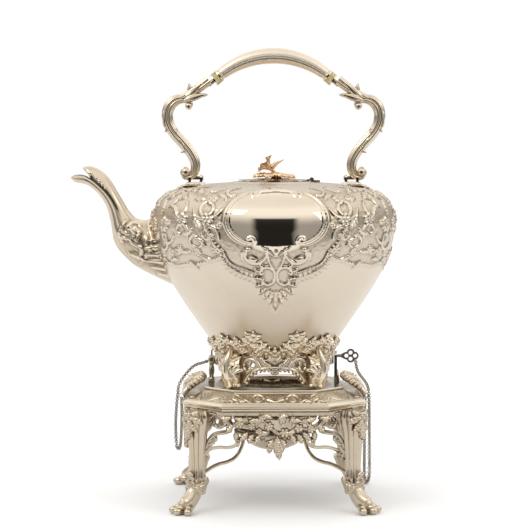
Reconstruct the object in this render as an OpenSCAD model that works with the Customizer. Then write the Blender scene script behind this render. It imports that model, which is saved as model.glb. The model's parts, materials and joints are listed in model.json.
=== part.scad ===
// Spirit kettle on its stand: a silver kettle with a swinging overhead handle,
// hinged to a four-legged stand that holds a spirit burner.
// Heights run up from the surface the stand rests on. Positions are drawn about
// the kettle's own centre line and then moved so that the whole object is centred.

/* [Overall] */
// Height with the handle upright
overall_h = 400; // [385:1:420]
// Reach of the spout tip from the kettle's centre line
spout_reach = 179; // [170:1:190]

/* [Kettle body] */
// Largest radius of the body
body_r = 108; // [104:1:112]
// Height of the widest line of the body
belly_z = 246; // [240:1:250]
// Height of the underside of the body
body_bottom_z = 128; // [127:1:132]
// Radius of the short collar at the foot of the body
collar_r = 49; // [47:1:51]
// Height of that collar
collar_h = 4; // [3:0.5:6]
// Sheet thickness of the body
wall = 1.5; // [1:0.1:2]
// Radius at which the shoulder turns into the nearly flat top
shoulder_r = 86; // [83:1:89]
// Height of that turn
shoulder_z = 276.5; // [275:0.5:278]
// Height of the top at the lid opening
dome_z = 282.5; // [281:0.5:283]
// Radius of the lid opening
mouth_r = 29.5; // [26:0.5:30]
// Thickness of the bottom disc
bottom_t = 1.8; // [1:0.1:2.5]

/* [Lid] */
// Radius of the lid
lid_r = 31.5; // [31:0.5:34]
// Thickness of the lid
lid_t = 1.1; // [0.8:0.1:1.5]
// Rise of the lid from its rim to its middle
lid_crown = 1.6; // [1:0.1:2.5]
// Depth of the ring under the lid that drops into the opening
lid_plug_h = 4; // [3:0.5:5]
// Wall of the ring set into the opening
bezel_t = 1.5; // [1:0.1:2]
// Depth of the ring set into the opening
bezel_h = 6; // [5:0.5:8]
// Radius of the lid hinge's barrel
lid_barrel_r = 1.7; // [1.5:0.1:2.2]
// Radius of the lid hinge's pin
lid_pin_r = 0.8; // [0.6:0.1:1]
// Length of the lid hinge's barrel
lid_barrel_l = 16; // [12:1:20]
// Radius of the finial's stud
stud_r = 1.5; // [1.2:0.1:2]
// Height of the finial above the lid
finial_h = 17; // [14:1:20]
// Spread of the finial's leaves from the middle
leaf_l = 16; // [12:1:18]

/* [Spout] */
// Height of the spout tip
spout_tip_z = 287; // [280:1:292]
// Height of the middle of the spout's root on the body
spout_root_z = 214; // [210:1:218]
// Half height of the spout's root
spout_root_h = 29; // [26:1:31]
// Half width of the spout's root
spout_root_w = 21; // [18:1:24]
// Sheet thickness of the spout
spout_wall = 1.4; // [1:0.1:2]
// Radius of a strainer hole
strainer_r = 1.6; // [1.2:0.1:2]
// Spacing of the strainer holes
strainer_pitch = 6; // [5:0.5:8]

/* [Handle] */
// Distance of each handle hinge from the centre line
handle_x = 69; // [66:1:72]
// Height of the handle hinges
handle_z = 285.5; // [284:0.5:288]
// Radius of the arc of the grip
grip_arc_r = 73.7; // [70:0.5:80]
// Half the angle that the grip spans
grip_half_angle = 40; // [36:1:42]
// Half thickness of the grip in its middle
grip_mid_r = 7; // [6:0.5:8]
// Half thickness of the grip at its ends
grip_end_r = 4.8; // [4.5:0.1:5.5]
// Sheet thickness of the grip
grip_wall = 1.2; // [0.8:0.1:1.6]
// Length of each insulator
insulator_l = 4.5; // [3:0.5:6]
// Radius of each insulator
insulator_r = 5.6; // [5:0.1:6.5]
// Thickness of the metal rings beside each insulator
ferrule_t = 1.3; // [1:0.1:2]
// Radius of the metal rings beside each insulator
ferrule_r = 6; // [5.5:0.1:7]
// Radius of the pin that runs through each insulator
dowel_r = 2; // [1.5:0.1:2.5]
// Depth of that pin in the grip and in the arm
dowel_depth = 6; // [4:1:8]
// Half thickness of an arm
arm_r = 4.8; // [4.5:0.1:5.5]
// Radius of the large bend of an arm
arm_bend_r = 12.5; // [11:0.5:15]
// Radius of the curl at the foot of an arm
arm_curl_r = 5.2; // [4.6:0.1:6]
// Radius of the knuckle at the foot of an arm
knuckle_r = 3.2; // [3:0.1:3.5]
// Radius of the handle's hinge pins
handle_pin_r = 1.5; // [1.2:0.1:1.8]
// Width of the knuckle
knuckle_w = 7; // [6:0.5:9]
// Thickness of each ear of a handle socket
ear_t = 2.4; // [2:0.1:3]

/* [Kettle base] */
// Height of the lower edge of the pierced band under the body
band_z = 119; // [117:1:121]
// Thickness of that band
band_t = 2; // [1.5:0.1:2.5]
// Height up the body that the band reaches
band_top_z = 142; // [138:1:146]
// Distance of each kettle foot from the centre line
kettle_foot_r = 58; // [56:1:60]
// Angle of the kettle feet from the side axis
kettle_foot_angle = 50; // [46:1:54]
// Thickness of a kettle foot
kettle_foot_w = 12; // [9:1:14]

/* [Hinge and lock] */
// Distance of the tilting hinge from the centre line
tilt_x = 55; // [54.5:0.5:57]
// Height of the tilting hinge
tilt_z = 125; // [124:0.5:126]
// Radius of the tilting hinge's pin
tilt_pin_r = 1.5; // [1.2:0.1:1.7]
// Radius of the kettle's hinge barrel
tilt_barrel_r = 3; // [2.8:0.1:3.1]
// Half length of the kettle's hinge barrel
tilt_barrel_half = 4.6; // [4:0.1:6]
// Thickness of each post of the stand's hinge
post_t = 4; // [3:0.5:5]
// Width of each post of the stand's hinge
post_w = 5.5; // [5:0.5:6]
// Height of the lock pin
lock_z = 127.5; // [126.5:0.5:129]
// Radius of the lock pin
lock_r = 1.3; // [1:0.1:1.5]
// Inner face of the stand's lock plate
lock_plate_x = 53.8; // [53.4:0.1:55]
// Thickness of the stand's lock plate
lock_plate_t = 2.5; // [2:0.1:3]
// Half width of the lock plates
lock_plate_half = 4.5; // [4:0.5:5]
// Travel of the lock pin from its drawn place to its locked place
lock_travel = 3.4; // [3:0.1:4]
// Length of a pin's pierced head
pin_head_l = 16; // [14:1:18]
// Height of a pin's pierced head
pin_head_h = 11; // [9:1:12]
// Thickness of a pin's pierced head
pin_head_t = 1.6; // [1.2:0.1:2]

/* [Stand] */
// Height of the stand's deck
deck_z = 104; // [103:1:105]
// Half width of the deck
deck_half = 59; // [58:1:62]
// Thickness of the deck
deck_t = 1.8; // [1.2:0.1:2.5]
// Radius of the flame opening
flame_r = 43; // [41:1:45]
// Half width of the rim
rim_half = 80; // [78:1:84]
// Height of the top of the rim
rim_z = 94; // [92:1:96]
// Height of the rim moulding
rim_h = 6; // [5:0.5:8]
// Width of the rim moulding
rim_w = 8; // [6:0.5:10]
// Half length of the rim's straight sides
rim_straight = 46; // [42:1:50]
// Sheet thickness of the sloping sides
cove_t = 1.6; // [1.2:0.1:2.5]
// Rise of the side borders above the sloping sides
border_h = 7; // [5:1:9]
// Half length of the side borders
border_half = 38; // [34:1:42]

/* [Legs and aprons] */
// Distance of each leg from the centre line, along X and along Y
leg_xy = 67; // [65:1:69]
// Radius of a leg's fluted shaft
shaft_r = 6.4; // [6:0.1:7]
// Height of the ankle
ankle_z = 27; // [24:1:30]
// Reach of the toes past the shaft, along the diagonal
toe_reach = 22; // [20:1:25]
// Radius of a toe
toe_r = 5; // [4:0.5:6]
// Reach of the pierced side brackets from the shaft
bracket_l = 28; // [24:1:30]
// Thickness of the side brackets and the aprons
apron_t = 3; // [2:0.5:4]
// Height of the lowest point of an apron's pendant
pendant_z = 47; // [44:1:52]

/* [Burner] */
// Height of the burner's underside
bowl_z = 44; // [42:1:48]
// Height of the burner's body
bowl_h = 31; // [28:1:34]
// Radius of the burner at its rim
bowl_r = 38; // [36:1:40]
// Sheet thickness of the burner
bowl_wall = 1.2; // [1:0.1:1.6]
// Height of the ring that holds the burner
ring_z = 61; // [60:1:63]
// Radius of the wire of that ring
ring_wire_r = 1.6; // [1.4:0.1:2]
// Radius of the four stays
stay_r = 1.1; // [0.9:0.1:1.4]
// Height at which the stays meet the legs
stay_end_z = 33; // [31:1:36]
// Radius of the wick tube
wick_tube_r = 5; // [4:0.5:6]
// Height of the wick tube above the burner's top
wick_tube_h = 9; // [8:0.5:12]
// Radius of the snuffer
snuffer_r = 7; // [6.5:0.5:8]

/* [Chains] */
// Radius of a link, at the middle of its wire
link_r = 1.35; // [1.2:0.05:1.6]
// Radius of a link's wire
link_wire_r = 0.38; // [0.3:0.02:0.45]

/* [Hidden] */

$fn = 64;
eps = 0.01;
big = 500;
// Clearance between pieces that lie on each other but can part
seat_gap = 0.3;
// Radial clearance of a running pin
run = 0.06;
silver = [0.83, 0.77, 0.68];
dark_silver = [0.5, 0.46, 0.4];
gilt = [0.85, 0.7, 0.5];
ivory = [0.72, 0.66, 0.48];
cotton = [0.93, 0.9, 0.82];

// The object's middle lies between the spout tip and the far side of the body
axis_x = (spout_reach - body_r) / 2;

module placed() { translate([axis_x, 0, 0]) children(); }

// Outlines and swept tubes
function bezier(a, b, c, d, t) =
    pow(1 - t, 3) * a + 3 * pow(1 - t, 2) * t * b + 3 * (1 - t) * t * t * c + pow(t, 3) * d;
function bezier_line(a, b, c, d, n) = [for (i = [1:n]) bezier(a, b, c, d, i / n)];
function unit(v) = v / norm(v);
function heading(p, i) = unit(p[min(i + 1, len(p) - 1)] - p[max(i - 1, 0)]);
function left_of(v) = [-v[1], v[0]];
function inset(p, d) = [for (i = [0:len(p) - 1]) p[i] + d * left_of(heading(p, i))];
function reverse(p) = [for (i = [len(p) - 1:-1:0]) p[i]];
function arc_step(h, t) = [sin(h + t) - sin(h), cos(h) - cos(h + t)];
function arc_points(p, h, r, turn, n) =
    [for (i = [1:n]) p + sign(turn) * r * arc_step(h, turn * i / n)];
function smooth(list, i, u) =
    let (n = len(list) - 1, a = list[max(i - 1, 0)], b = list[i])
    let (c = list[min(i + 1, n)], d = list[min(i + 2, n)])
    b + u * (c - a) / 2 + u * u * (2 * a - 5 * b + 4 * c - d) / 2
    + u * u * u * (3 * b - a - 3 * c + d) / 2;
function smoothed(list, n) = concat(
    [for (i = [0:len(list) - 2], k = [0:n - 1]) smooth(list, i, k / n)],
    [list[len(list) - 1]]
);

// A tube along a line in the XZ plane, with its own half height and half width at each point
module plane_tube(line, half_h, half_w, sides) {
    last = len(line) - 1;
    points = [
        for (i = [0:last], k = [0:sides - 1])
        let (n = left_of(heading(line, i)), a = 360 * k / sides)
        [line[i][0] + n[0] * half_h[i] * cos(a), half_w[i] * sin(a), line[i][1] + n[1] * half_h[i] * cos(a)]
    ];
    faces = concat(
        [[for (k = [sides - 1:-1:0]) k]],
        [for (i = [0:last - 1], k = [0:sides - 1], j = [0, 1])
            let (a = i * sides + k, b = i * sides + (k + 1) % sides)
            j == 0 ? [a, b, b + sides] : [a, b + sides, a + sides]],
        [[for (k = [0:sides - 1]) last * sides + k]]
    );
    polyhedron(points, faces, convexity = 6);
}

// Kettle body
mouth_edge = mouth_r - 3;
belly_line = bezier_line(
    [collar_r, body_bottom_z + collar_h],
    [collar_r + 0.66 * (body_r - collar_r), body_bottom_z + 0.51 * (belly_z - body_bottom_z)],
    [body_r, belly_z - 0.27 * (belly_z - body_bottom_z)],
    [body_r, belly_z],
    24
);
shoulder_line = bezier_line(
    [body_r, belly_z],
    [body_r, belly_z + 0.54 * (shoulder_z - belly_z)],
    [shoulder_r + 0.64 * (body_r - shoulder_r), belly_z + 0.8 * (shoulder_z - belly_z)],
    [shoulder_r, shoulder_z],
    10
);
dome_line = bezier_line(
    [shoulder_r, shoulder_z],
    [shoulder_r - 16, shoulder_z + 0.6 * (dome_z - shoulder_z)],
    [mouth_r + 16, dome_z],
    [mouth_edge, dome_z],
    6
);
collar_line = [[collar_r, body_bottom_z], [collar_r, body_bottom_z + collar_h]];
body_line = concat(collar_line, belly_line, shoulder_line, dome_line);

module body_envelope() {
    rotate_extrude($fn = 160)
        polygon(concat([[0, body_bottom_z]], body_line, [[0, dome_z]]));
}

module strainer_holes() {
    for (row = [-1:1], column = [-1:1])
        translate([-body_r - wall, column * strainer_pitch, spout_root_z + row * strainer_pitch])
            rotate([0, 90, 0])
                cylinder(r = strainer_r, h = body_r);
}

module kettle_shell() {
    color(silver) placed() difference() {
        rotate_extrude()
            polygon(concat(body_line, reverse(inset(body_line, wall))));
        translate([0, 0, dome_z - big / 2])
            cylinder(r = mouth_r, h = big);
        strainer_holes();
    }
}

module kettle_bottom() {
    color(silver) placed()
        translate([0, 0, body_bottom_z])
            cylinder(r = collar_r - wall, h = bottom_t);
}

// Lid and its hinge
lid_z = dome_z + seat_gap;
plug_r = mouth_r - bezel_t - 0.5;
lid_hinge_x = lid_r + lid_barrel_r + 0.5;
lid_hinge_z = dome_z + 0.2 + lid_barrel_r;
lid_top_z = lid_z + lid_t + lid_crown;
lid_gap = 0.3;
lid_knuckle_half = lid_barrel_l / 6;
lid_tongue_half = lid_knuckle_half - lid_gap / 2 - 0.4;

module lid_bezel() {
    color(silver) placed() translate([0, 0, dome_z - bezel_h]) difference() {
        cylinder(r = mouth_r, h = bezel_h);
        translate([0, 0, -1])
            cylinder(r = mouth_r - bezel_t, h = bezel_h + 2);
    }
}

module along_y(r, h) {
    rotate([90, 0, 0])
        cylinder(r = r, h = h, center = true);
}

module along_x(r, h) {
    rotate([0, 90, 0])
        cylinder(r = r, h = h, center = true);
}

module lid() {
    color(silver) placed() {
        rotate([0, 0, 90]) rotate_extrude()
            polygon([
                [stud_r, lid_z + lid_crown], [plug_r / 2, lid_z + 0.75 * lid_crown],
                [plug_r - 1.2, lid_z], [plug_r - 1.2, lid_z - lid_plug_h],
                [plug_r, lid_z - lid_plug_h], [plug_r, lid_z], [lid_r, lid_z], [lid_r, lid_z + lid_t],
                [plug_r - 1, lid_z + lid_t + 0.15 * lid_crown],
                [plug_r / 2, lid_z + lid_t + 0.8 * lid_crown], [stud_r, lid_top_z]
            ]);
        difference() {
            union() {
                translate([lid_hinge_x, 0, lid_hinge_z])
                    along_y(lid_barrel_r, 2 * lid_knuckle_half - lid_gap);
                translate([lid_r - 2, -lid_tongue_half, lid_z + 0.2])
                    cube([lid_hinge_x - lid_pin_r - 0.3 - lid_r + 2, 2 * lid_tongue_half, lid_t + 0.3]);
            }
            translate([lid_hinge_x, 0, lid_hinge_z])
                along_y(lid_pin_r + run, lid_barrel_l);
        }
    }
}

module lid_hinge_leaf() {
    color(silver) placed() difference() {
        union() {
            for (side = [-1, 1])
                translate([lid_hinge_x, side * (lid_barrel_l / 3 + lid_gap / 2), lid_hinge_z])
                    along_y(lid_barrel_r, lid_barrel_l / 3 - lid_gap);
            translate([lid_hinge_x, -lid_barrel_l / 2, dome_z - 1])
                cube([7, lid_barrel_l, 2]);
        }
        translate([lid_hinge_x, 0, lid_hinge_z])
            along_y(lid_pin_r, lid_barrel_l + 1);
        translate([lid_hinge_x, 0, lid_hinge_z])
            along_y(lid_barrel_r + lid_gap, 2 * lid_knuckle_half + 1.5 * lid_gap);
        translate([lid_hinge_x - 3, -lid_knuckle_half - 0.75 * lid_gap, dome_z - 2])
            cube([3 + lid_barrel_r + 2 * lid_gap, 2 * lid_knuckle_half + 1.5 * lid_gap, 5]);
        body_envelope();
    }
}

module lid_hinge_pin() {
    color(dark_silver) placed()
        translate([lid_hinge_x, 0, lid_hinge_z])
            along_y(lid_pin_r, lid_barrel_l + 1);
}

module leaf(length, width, thickness) {
    linear_extrude(thickness)
        polygon([
            [0, -0.2 * width], [0.3 * length, -0.5 * width], [0.65 * length, -0.42 * width],
            [length, 0], [0.65 * length, 0.42 * width], [0.3 * length, 0.5 * width], [0, 0.2 * width]
        ]);
}

// The finial is a trumpet flower over a spray of leaves
module lid_finial() {
    leaf_turns = [0, 70, 125, 180, 235, 290];
    flower_r = 5.5;
    color(gilt) placed() translate([0, 0, lid_top_z]) {
        cylinder(r = 5, h = 1.2);
        translate([0, 0, -lid_t - 4])
            cylinder(r = stud_r, h = lid_t + 5);
        for (turn = leaf_turns)
            rotate([0, 0, turn])
                translate([2, 0, 0.6])
                    rotate([0, -6, 0])
                        leaf(leaf_l - 2, 7, 1.1);
        translate([0, 0, 1])
            rotate([0, -14, 0])
                cylinder(r1 = 1.6, r2 = 1.2, h = finial_h - 6);
        translate([-2.6, 0, finial_h - 6.5])
            rotate([0, -112, 0])
                rotate_extrude()
                    polygon([[0, -3], [1.3, -2], [2.2, 3], [flower_r, 8], [flower_r - 1, 8], [1.4, 4], [0, 3.4]]);
        translate([-2.6, 0, finial_h - 6.5])
            rotate([0, 48, 0])
                leaf(10, 3, 1.2);
    }
}

module finial_nut() {
    color(silver) placed()
        translate([0, 0, lid_top_z - lid_t - 2.5])
            difference() {
                cylinder(r = 3.4, h = 2.4, $fn = 6);
                translate([0, 0, -1])
                    cylinder(r = stud_r, h = 5);
            }
}

// Spout: each station is the share of the way out, the share of the way up,
// and the half height and half width as shares of the root's
spout_root_x = 78;
spout_stations = [
    [0.00, 0.00, 1.00, 1.00], [0.16, 0.02, 1.00, 0.98], [0.29, 0.08, 0.93, 0.90],
    [0.41, 0.20, 0.72, 0.76], [0.50, 0.35, 0.48, 0.60], [0.56, 0.50, 0.34, 0.48],
    [0.605, 0.65, 0.285, 0.42], [0.67, 0.81, 0.26, 0.38], [0.75, 0.925, 0.225, 0.34],
    [0.85, 0.99, 0.165, 0.30], [0.93, 1.015, 0.12, 0.26], [1.00, 1.00, 0.085, 0.21]
];
spout_rings = smoothed(spout_stations, 3);
spout_line = [for (s = spout_rings) [
    -spout_root_x - s[0] * (spout_reach - spout_root_x),
    spout_root_z + s[1] * (spout_tip_z - spout_root_z)
]];
spout_half_h = [for (s = spout_rings) s[2] * spout_root_h];
spout_half_w = [for (s = spout_rings) s[3] * spout_root_w];
function less(list, d) = [for (v = list) v - d];

module spout_bore() {
    last = len(spout_line) - 1;
    run_out = spout_line[last] + 4 * heading(spout_line, last);
    line = concat(spout_line, [run_out]);
    half_h = less(concat(spout_half_h, [spout_half_h[last]]), spout_wall);
    half_w = less(concat(spout_half_w, [spout_half_w[last]]), spout_wall);
    plane_tube(line, half_h, half_w, 20);
}

module spout() {
    color(silver) placed() difference() {
        plane_tube(spout_line, spout_half_h, spout_half_w, 20);
        spout_bore();
        body_envelope();
        translate([-spout_reach - big, -big / 2, 0])
            cube([big, big, big]);
    }
}

// Handle: the grip is an arc, and each arm is two straight runs between arcs
grip_centre_z = overall_h - grip_mid_r - grip_arc_r;
grip_end = [grip_arc_r * sin(grip_half_angle), grip_centre_z + grip_arc_r * cos(grip_half_angle)];
stack_l = insulator_l + 2 * ferrule_t;
stack_dir = [cos(grip_half_angle), -sin(grip_half_angle)];
arm_top = grip_end + stack_l * stack_dir;
arm_start = [handle_x, handle_z + knuckle_r + 9];
arm_rise_turn = 40;
arm_rise_r = 20;
arm_fall = 33;
arm_lead_r = 60;
arm_lead_turn = grip_half_angle - arm_fall;
// Turns are drawn for the right arm, from its foot up: first out, then back over to the grip
arm_1 = arm_points_of(arm_start, 90, arm_rise_r, -arm_rise_turn);
arm_out = 90 - arm_rise_turn;
arm_bend = 180 - arm_fall - arm_out;
function arm_points_of(p, h, r, turn) = arc_points(p, h, r, turn, 6);
function end_of(list) = list[len(list) - 1];
function arc_move(h, r, turn) = sign(turn) * r * arc_step(h, turn);
arm_gap = arm_top - end_of(arm_1) - arc_move(arm_out, arm_bend_r, arm_bend)
    - arc_move(180 - arm_fall, arm_lead_r, -arm_lead_turn);
arm_u = [cos(arm_out), sin(arm_out)];
arm_v = [-cos(arm_fall), sin(arm_fall)];
arm_det = arm_u[0] * arm_v[1] - arm_u[1] * arm_v[0];
arm_run_1 = (arm_gap[0] * arm_v[1] - arm_gap[1] * arm_v[0]) / arm_det;
arm_run_2 = (arm_u[0] * arm_gap[1] - arm_u[1] * arm_gap[0]) / arm_det;
arm_2 = arc_points(end_of(arm_1) + arm_run_1 * arm_u, arm_out, arm_bend_r, arm_bend, 12);
arm_3 = arc_points(end_of(arm_2) + arm_run_2 * arm_v, 180 - arm_fall, arm_lead_r, -arm_lead_turn, 3);
arm_curl = reverse(arc_points(arm_start, 270, arm_curl_r, 165, 10));
arm_line = concat(
    arm_curl, [arm_start], arm_1,
    [end_of(arm_1) + arm_run_1 * arm_u], arm_2,
    [end_of(arm_2) + 0.5 * arm_run_2 * arm_v, end_of(arm_2) + arm_run_2 * arm_v], arm_3
);
arm_half = [for (i = [0:len(arm_line) - 1])
    i < len(arm_curl) ? arm_r * (0.45 + 0.35 * i / len(arm_curl))
    : min(arm_r, arm_r * (0.8 + 0.04 * (i - len(arm_curl))))];

module on_side(side) {
    if (side < 0) mirror([1, 0, 0]) children();
    else children();
}

// Turns a piece drawn along +Z so that it runs from the grip's end towards the arm
module on_stack(distance) {
    at = grip_end + distance * stack_dir;
    translate([at[0], 0, at[1]])
        rotate([0, 90 + grip_half_angle, 0])
            children();
}

module handle_arm(side) {
    color(silver) placed() on_side(side) difference() {
        union() {
            plane_tube(arm_line, arm_half, arm_half, 12);
            translate([handle_x, 0, handle_z])
                cylinder(r = knuckle_r - 0.2, h = arm_start[1] - handle_z + 1);
            translate([handle_x, 0, handle_z])
                along_x(knuckle_r, knuckle_w);
        }
        translate([handle_x, 0, handle_z])
            along_x(handle_pin_r + run, knuckle_w + 1);
        on_stack(stack_l)
            cylinder(r = dowel_r, h = dowel_depth);
        on_stack(stack_l - ferrule_t)
            cylinder(r = ferrule_r, h = ferrule_t);
    }
}

module handle_arm_left() { handle_arm(-1); }
module handle_arm_right() { handle_arm(1); }

module insulator(side) {
    color(ivory) placed() on_side(side) on_stack(ferrule_t) difference() {
        cylinder(r = insulator_r, h = insulator_l);
        translate([0, 0, -1])
            cylinder(r = dowel_r, h = insulator_l + 2);
    }
}

module insulator_left() { insulator(-1); }
module insulator_right() { insulator(1); }

module ferrules() {
    color(silver) placed()
        for (side = [-1, 1], distance = [0, stack_l - ferrule_t])
            on_side(side) on_stack(distance) difference() {
                cylinder(r = ferrule_r, h = ferrule_t);
                translate([0, 0, -1])
                    cylinder(r = dowel_r, h = ferrule_t + 2);
            }
}

module handle_dowels() {
    color(dark_silver) placed()
        for (side = [-1, 1])
            on_side(side) on_stack(-dowel_depth)
                cylinder(r = dowel_r, h = stack_l + 2 * dowel_depth);
}

grip_rings = 24;
grip_line = [for (i = [0:grip_rings])
    let (a = grip_half_angle * (1 - 2 * i / grip_rings))
    [-grip_arc_r * sin(a), grip_centre_z + grip_arc_r * cos(a)]];
grip_half = [for (i = [0:grip_rings])
    grip_end_r + (grip_mid_r - grip_end_r) * pow(sin(180 * i / grip_rings), 0.8)];

// A hollow grip, closed at each end by a metal ring
module handle_grip() {
    last = len(grip_line) - 1;
    run_in = grip_line[0] - 3 * heading(grip_line, 0);
    run_out = grip_line[last] + 3 * heading(grip_line, last);
    bore_line = concat([run_in], grip_line, [run_out]);
    bore_half = less(concat([grip_half[0]], grip_half, [grip_half[last]]), grip_wall);
    color(silver) placed() difference() {
        plane_tube(grip_line, grip_half, grip_half, 16);
        plane_tube(bore_line, bore_half, bore_half, 16);
        for (side = [-1, 1])
            on_side(side) on_stack(0)
                cylinder(r = ferrule_r, h = ferrule_t);
    }
}

ear_x = knuckle_w / 2 + seat_gap + ear_t / 2;
socket_top_z = handle_z - knuckle_r - seat_gap;

module handle_socket(side) {
    socket_r = 9.5;
    color(silver) placed() on_side(side) difference() {
        union() {
            translate([handle_x, 0, socket_top_z - 6])
                cylinder(r1 = socket_r + 3, r2 = socket_r - 2, h = 6);
            for (ear = [-1, 1])
                translate([handle_x + ear * ear_x, 0, handle_z]) {
                    along_x(knuckle_r, ear_t);
                    translate([-ear_t / 2, -knuckle_r, -knuckle_r - seat_gap - 1])
                        cube([ear_t, 2 * knuckle_r, knuckle_r + seat_gap + 1]);
                }
        }
        translate([handle_x, 0, handle_z])
            along_x(handle_pin_r, 3 * knuckle_w);
        body_envelope();
    }
}

module handle_socket_left() { handle_socket(-1); }
module handle_socket_right() { handle_socket(1); }

module handle_pin(side) {
    pin_half = knuckle_w / 2 + seat_gap + ear_t;
    head_t = 0.8;
    color(dark_silver) placed() on_side(side) translate([handle_x, 0, handle_z]) {
        along_x(handle_pin_r, 2 * pin_half);
        for (end = [-1, 1])
            translate([end * (pin_half + head_t / 2), 0, 0])
                along_x(handle_pin_r + 0.6, head_t);
    }
}

module handle_pin_left() { handle_pin(-1); }
module handle_pin_right() { handle_pin(1); }

// Kettle base: a pierced band under the body with four scroll feet
band_line = [for (p = body_line) if (p[1] <= band_top_z) p];
band_outer = concat([[collar_r + band_t - 1, band_z]], inset(band_line, -band_t));
band_foot_z = deck_z + seat_gap;

// All that lies inside the band's outer face
module band_envelope() {
    lip = band_line[len(band_line) - 1];
    rotate_extrude($fn = 160)
        polygon(concat([[0, band_z]], band_outer, [lip, [0, lip[1]]]));
}

module band_solid() {
    rotate_extrude()
        polygon(concat(
            [[collar_r - 1, body_bottom_z], [collar_r - 1, band_z]],
            band_outer,
            reverse(band_line)
        ));
}

module kettle_band() {
    arch_r = 30;
    arch_drop = 7;
    piercings = 12;
    color(silver) placed() difference() {
        band_solid();
        body_envelope();
        translate([collar_r, 0, lock_z])
            along_x(lock_hole_r, 14);
        for (turn = [0:piercings - 1])
            rotate([0, 0, 360 * (turn + 0.5) / piercings])
                translate([collar_r, 0, body_bottom_z - 3.6])
                    along_x(2.4, 12);
        for (side = [-1, 1])
            translate([0, side * collar_r, band_z - arch_r + 3])
                along_y(arch_r, arch_drop);
    }
}

module kettle_foot_outline() {
    difference() {
        union() {
            translate([kettle_foot_r, band_foot_z + 5])
                circle(r = 5);
            translate([kettle_foot_r - 5, band_foot_z])
                square([10, 3]);
            polygon([
                [collar_r - 1, band_z], [collar_r + 4, band_z - 4], [kettle_foot_r - 3, band_foot_z + 4],
                [kettle_foot_r + 4, band_foot_z + 6], [kettle_foot_r + 1, band_z],
                [collar_r + 9, body_bottom_z + 3], [collar_r + 11, band_top_z - 2],
                [collar_r + 6, band_top_z - 3], [collar_r - 1, body_bottom_z]
            ]);
        }
        translate([0, band_foot_z - big])
            square([big, big]);
    }
}

module kettle_foot(index) {
    turns = [kettle_foot_angle, 180 - kettle_foot_angle, 180 + kettle_foot_angle, -kettle_foot_angle];
    color(silver) placed() difference() {
        rotate([0, 0, turns[index]])
            rotate([90, 0, 0])
                translate([0, 0, -kettle_foot_w / 2])
                    linear_extrude(kettle_foot_w)
                        kettle_foot_outline();
        body_envelope();
        band_envelope();
    }
}

module kettle_foot_1() { kettle_foot(0); }
module kettle_foot_2() { kettle_foot(1); }
module kettle_foot_3() { kettle_foot(2); }
module kettle_foot_4() { kettle_foot(3); }

// Tilting hinge on the spout side
module tilt_barrel() {
    color(silver) placed() difference() {
        union() {
            translate([-tilt_x, 0, tilt_z])
                along_y(tilt_barrel_r, 2 * tilt_barrel_half);
            translate([-tilt_x, -tilt_barrel_half, tilt_z - tilt_barrel_r])
                cube([tilt_x - collar_r + 1, 2 * tilt_barrel_half, tilt_barrel_r + 1.5]);
        }
        translate([-tilt_x, 0, tilt_z])
            along_y(tilt_pin_r + run, 3 * tilt_barrel_half);
        band_envelope();
        body_envelope();
    }
}

module tilt_posts() {
    post_y = tilt_barrel_half + seat_gap;
    color(silver) placed() difference() {
        union() {
            for (side = [-1, 1])
                translate([-tilt_x, side * (post_y + post_t / 2), 0]) {
                    translate([0, 0, tilt_z])
                        along_y(post_w / 2, post_t);
                    translate([-post_w / 2, -post_t / 2, deck_z])
                        cube([post_w, post_t, tilt_z - deck_z]);
                }
            translate([-tilt_x - post_w / 2, -post_y - post_t, deck_z])
                cube([post_w, 2 * (post_y + post_t), 3]);
        }
        translate([-tilt_x, 0, tilt_z])
            along_y(tilt_pin_r + run, 6 * tilt_barrel_half);
    }
}

// A flat pierced head, drawn along +X from the end of a pin that lies on the X axis
module pin_head() {
    hole_r = 0.2 * pin_head_h;
    rotate([90, 0, 0])
        translate([0, 0, -pin_head_t / 2])
            linear_extrude(pin_head_t)
                difference() {
                    union() {
                        polygon([[0, -1.2], [4, -0.3 * pin_head_h], [4, 0.3 * pin_head_h], [0, 1.2]]);
                        for (petal = [[0.34, 0], [0.56, 0.24], [0.56, -0.24], [0.78, 0]])
                            translate([petal[0] * pin_head_l, petal[1] * pin_head_h])
                                circle(r = 0.22 * pin_head_l);
                    }
                    for (petal = [[0.32, 0], [0.55, 0.25], [0.55, -0.25], [0.8, 0]])
                        translate([petal[0] * pin_head_l, petal[1] * pin_head_h])
                            circle(r = hole_r * 0.8);
                }
}

module tilt_pin() {
    shaft_half = tilt_barrel_half + seat_gap + post_t;
    color(dark_silver) placed() translate([-tilt_x, 0, tilt_z]) {
        translate([0, 0.75, 0])
            along_y(tilt_pin_r, 2 * shaft_half + 1.5);
        translate([0, shaft_half + 1, 0])
            rotate([0, 0, 90])
                pin_head();
    }
}

// Lock on the side away from the spout
lock_tongue_x = lock_plate_x - 0.6;
lock_hole_r = lock_r + run;

module lock_tongue() {
    tongue_t = 2.5;
    color(silver) placed() difference() {
        union() {
            translate([lock_tongue_x - tongue_t, -lock_plate_half, band_z + 2])
                cube([tongue_t, 2 * lock_plate_half, lock_z - band_z - 2]);
            translate([lock_tongue_x - tongue_t / 2, 0, lock_z])
                along_x(lock_plate_half, tongue_t);
            translate([collar_r, -lock_plate_half, band_z + 2])
                cube([lock_tongue_x - collar_r - 1, 2 * lock_plate_half, 4]);
        }
        translate([lock_tongue_x, 0, lock_z])
            along_x(lock_hole_r, 14);
        band_envelope();
        body_envelope();
    }
}

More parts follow.
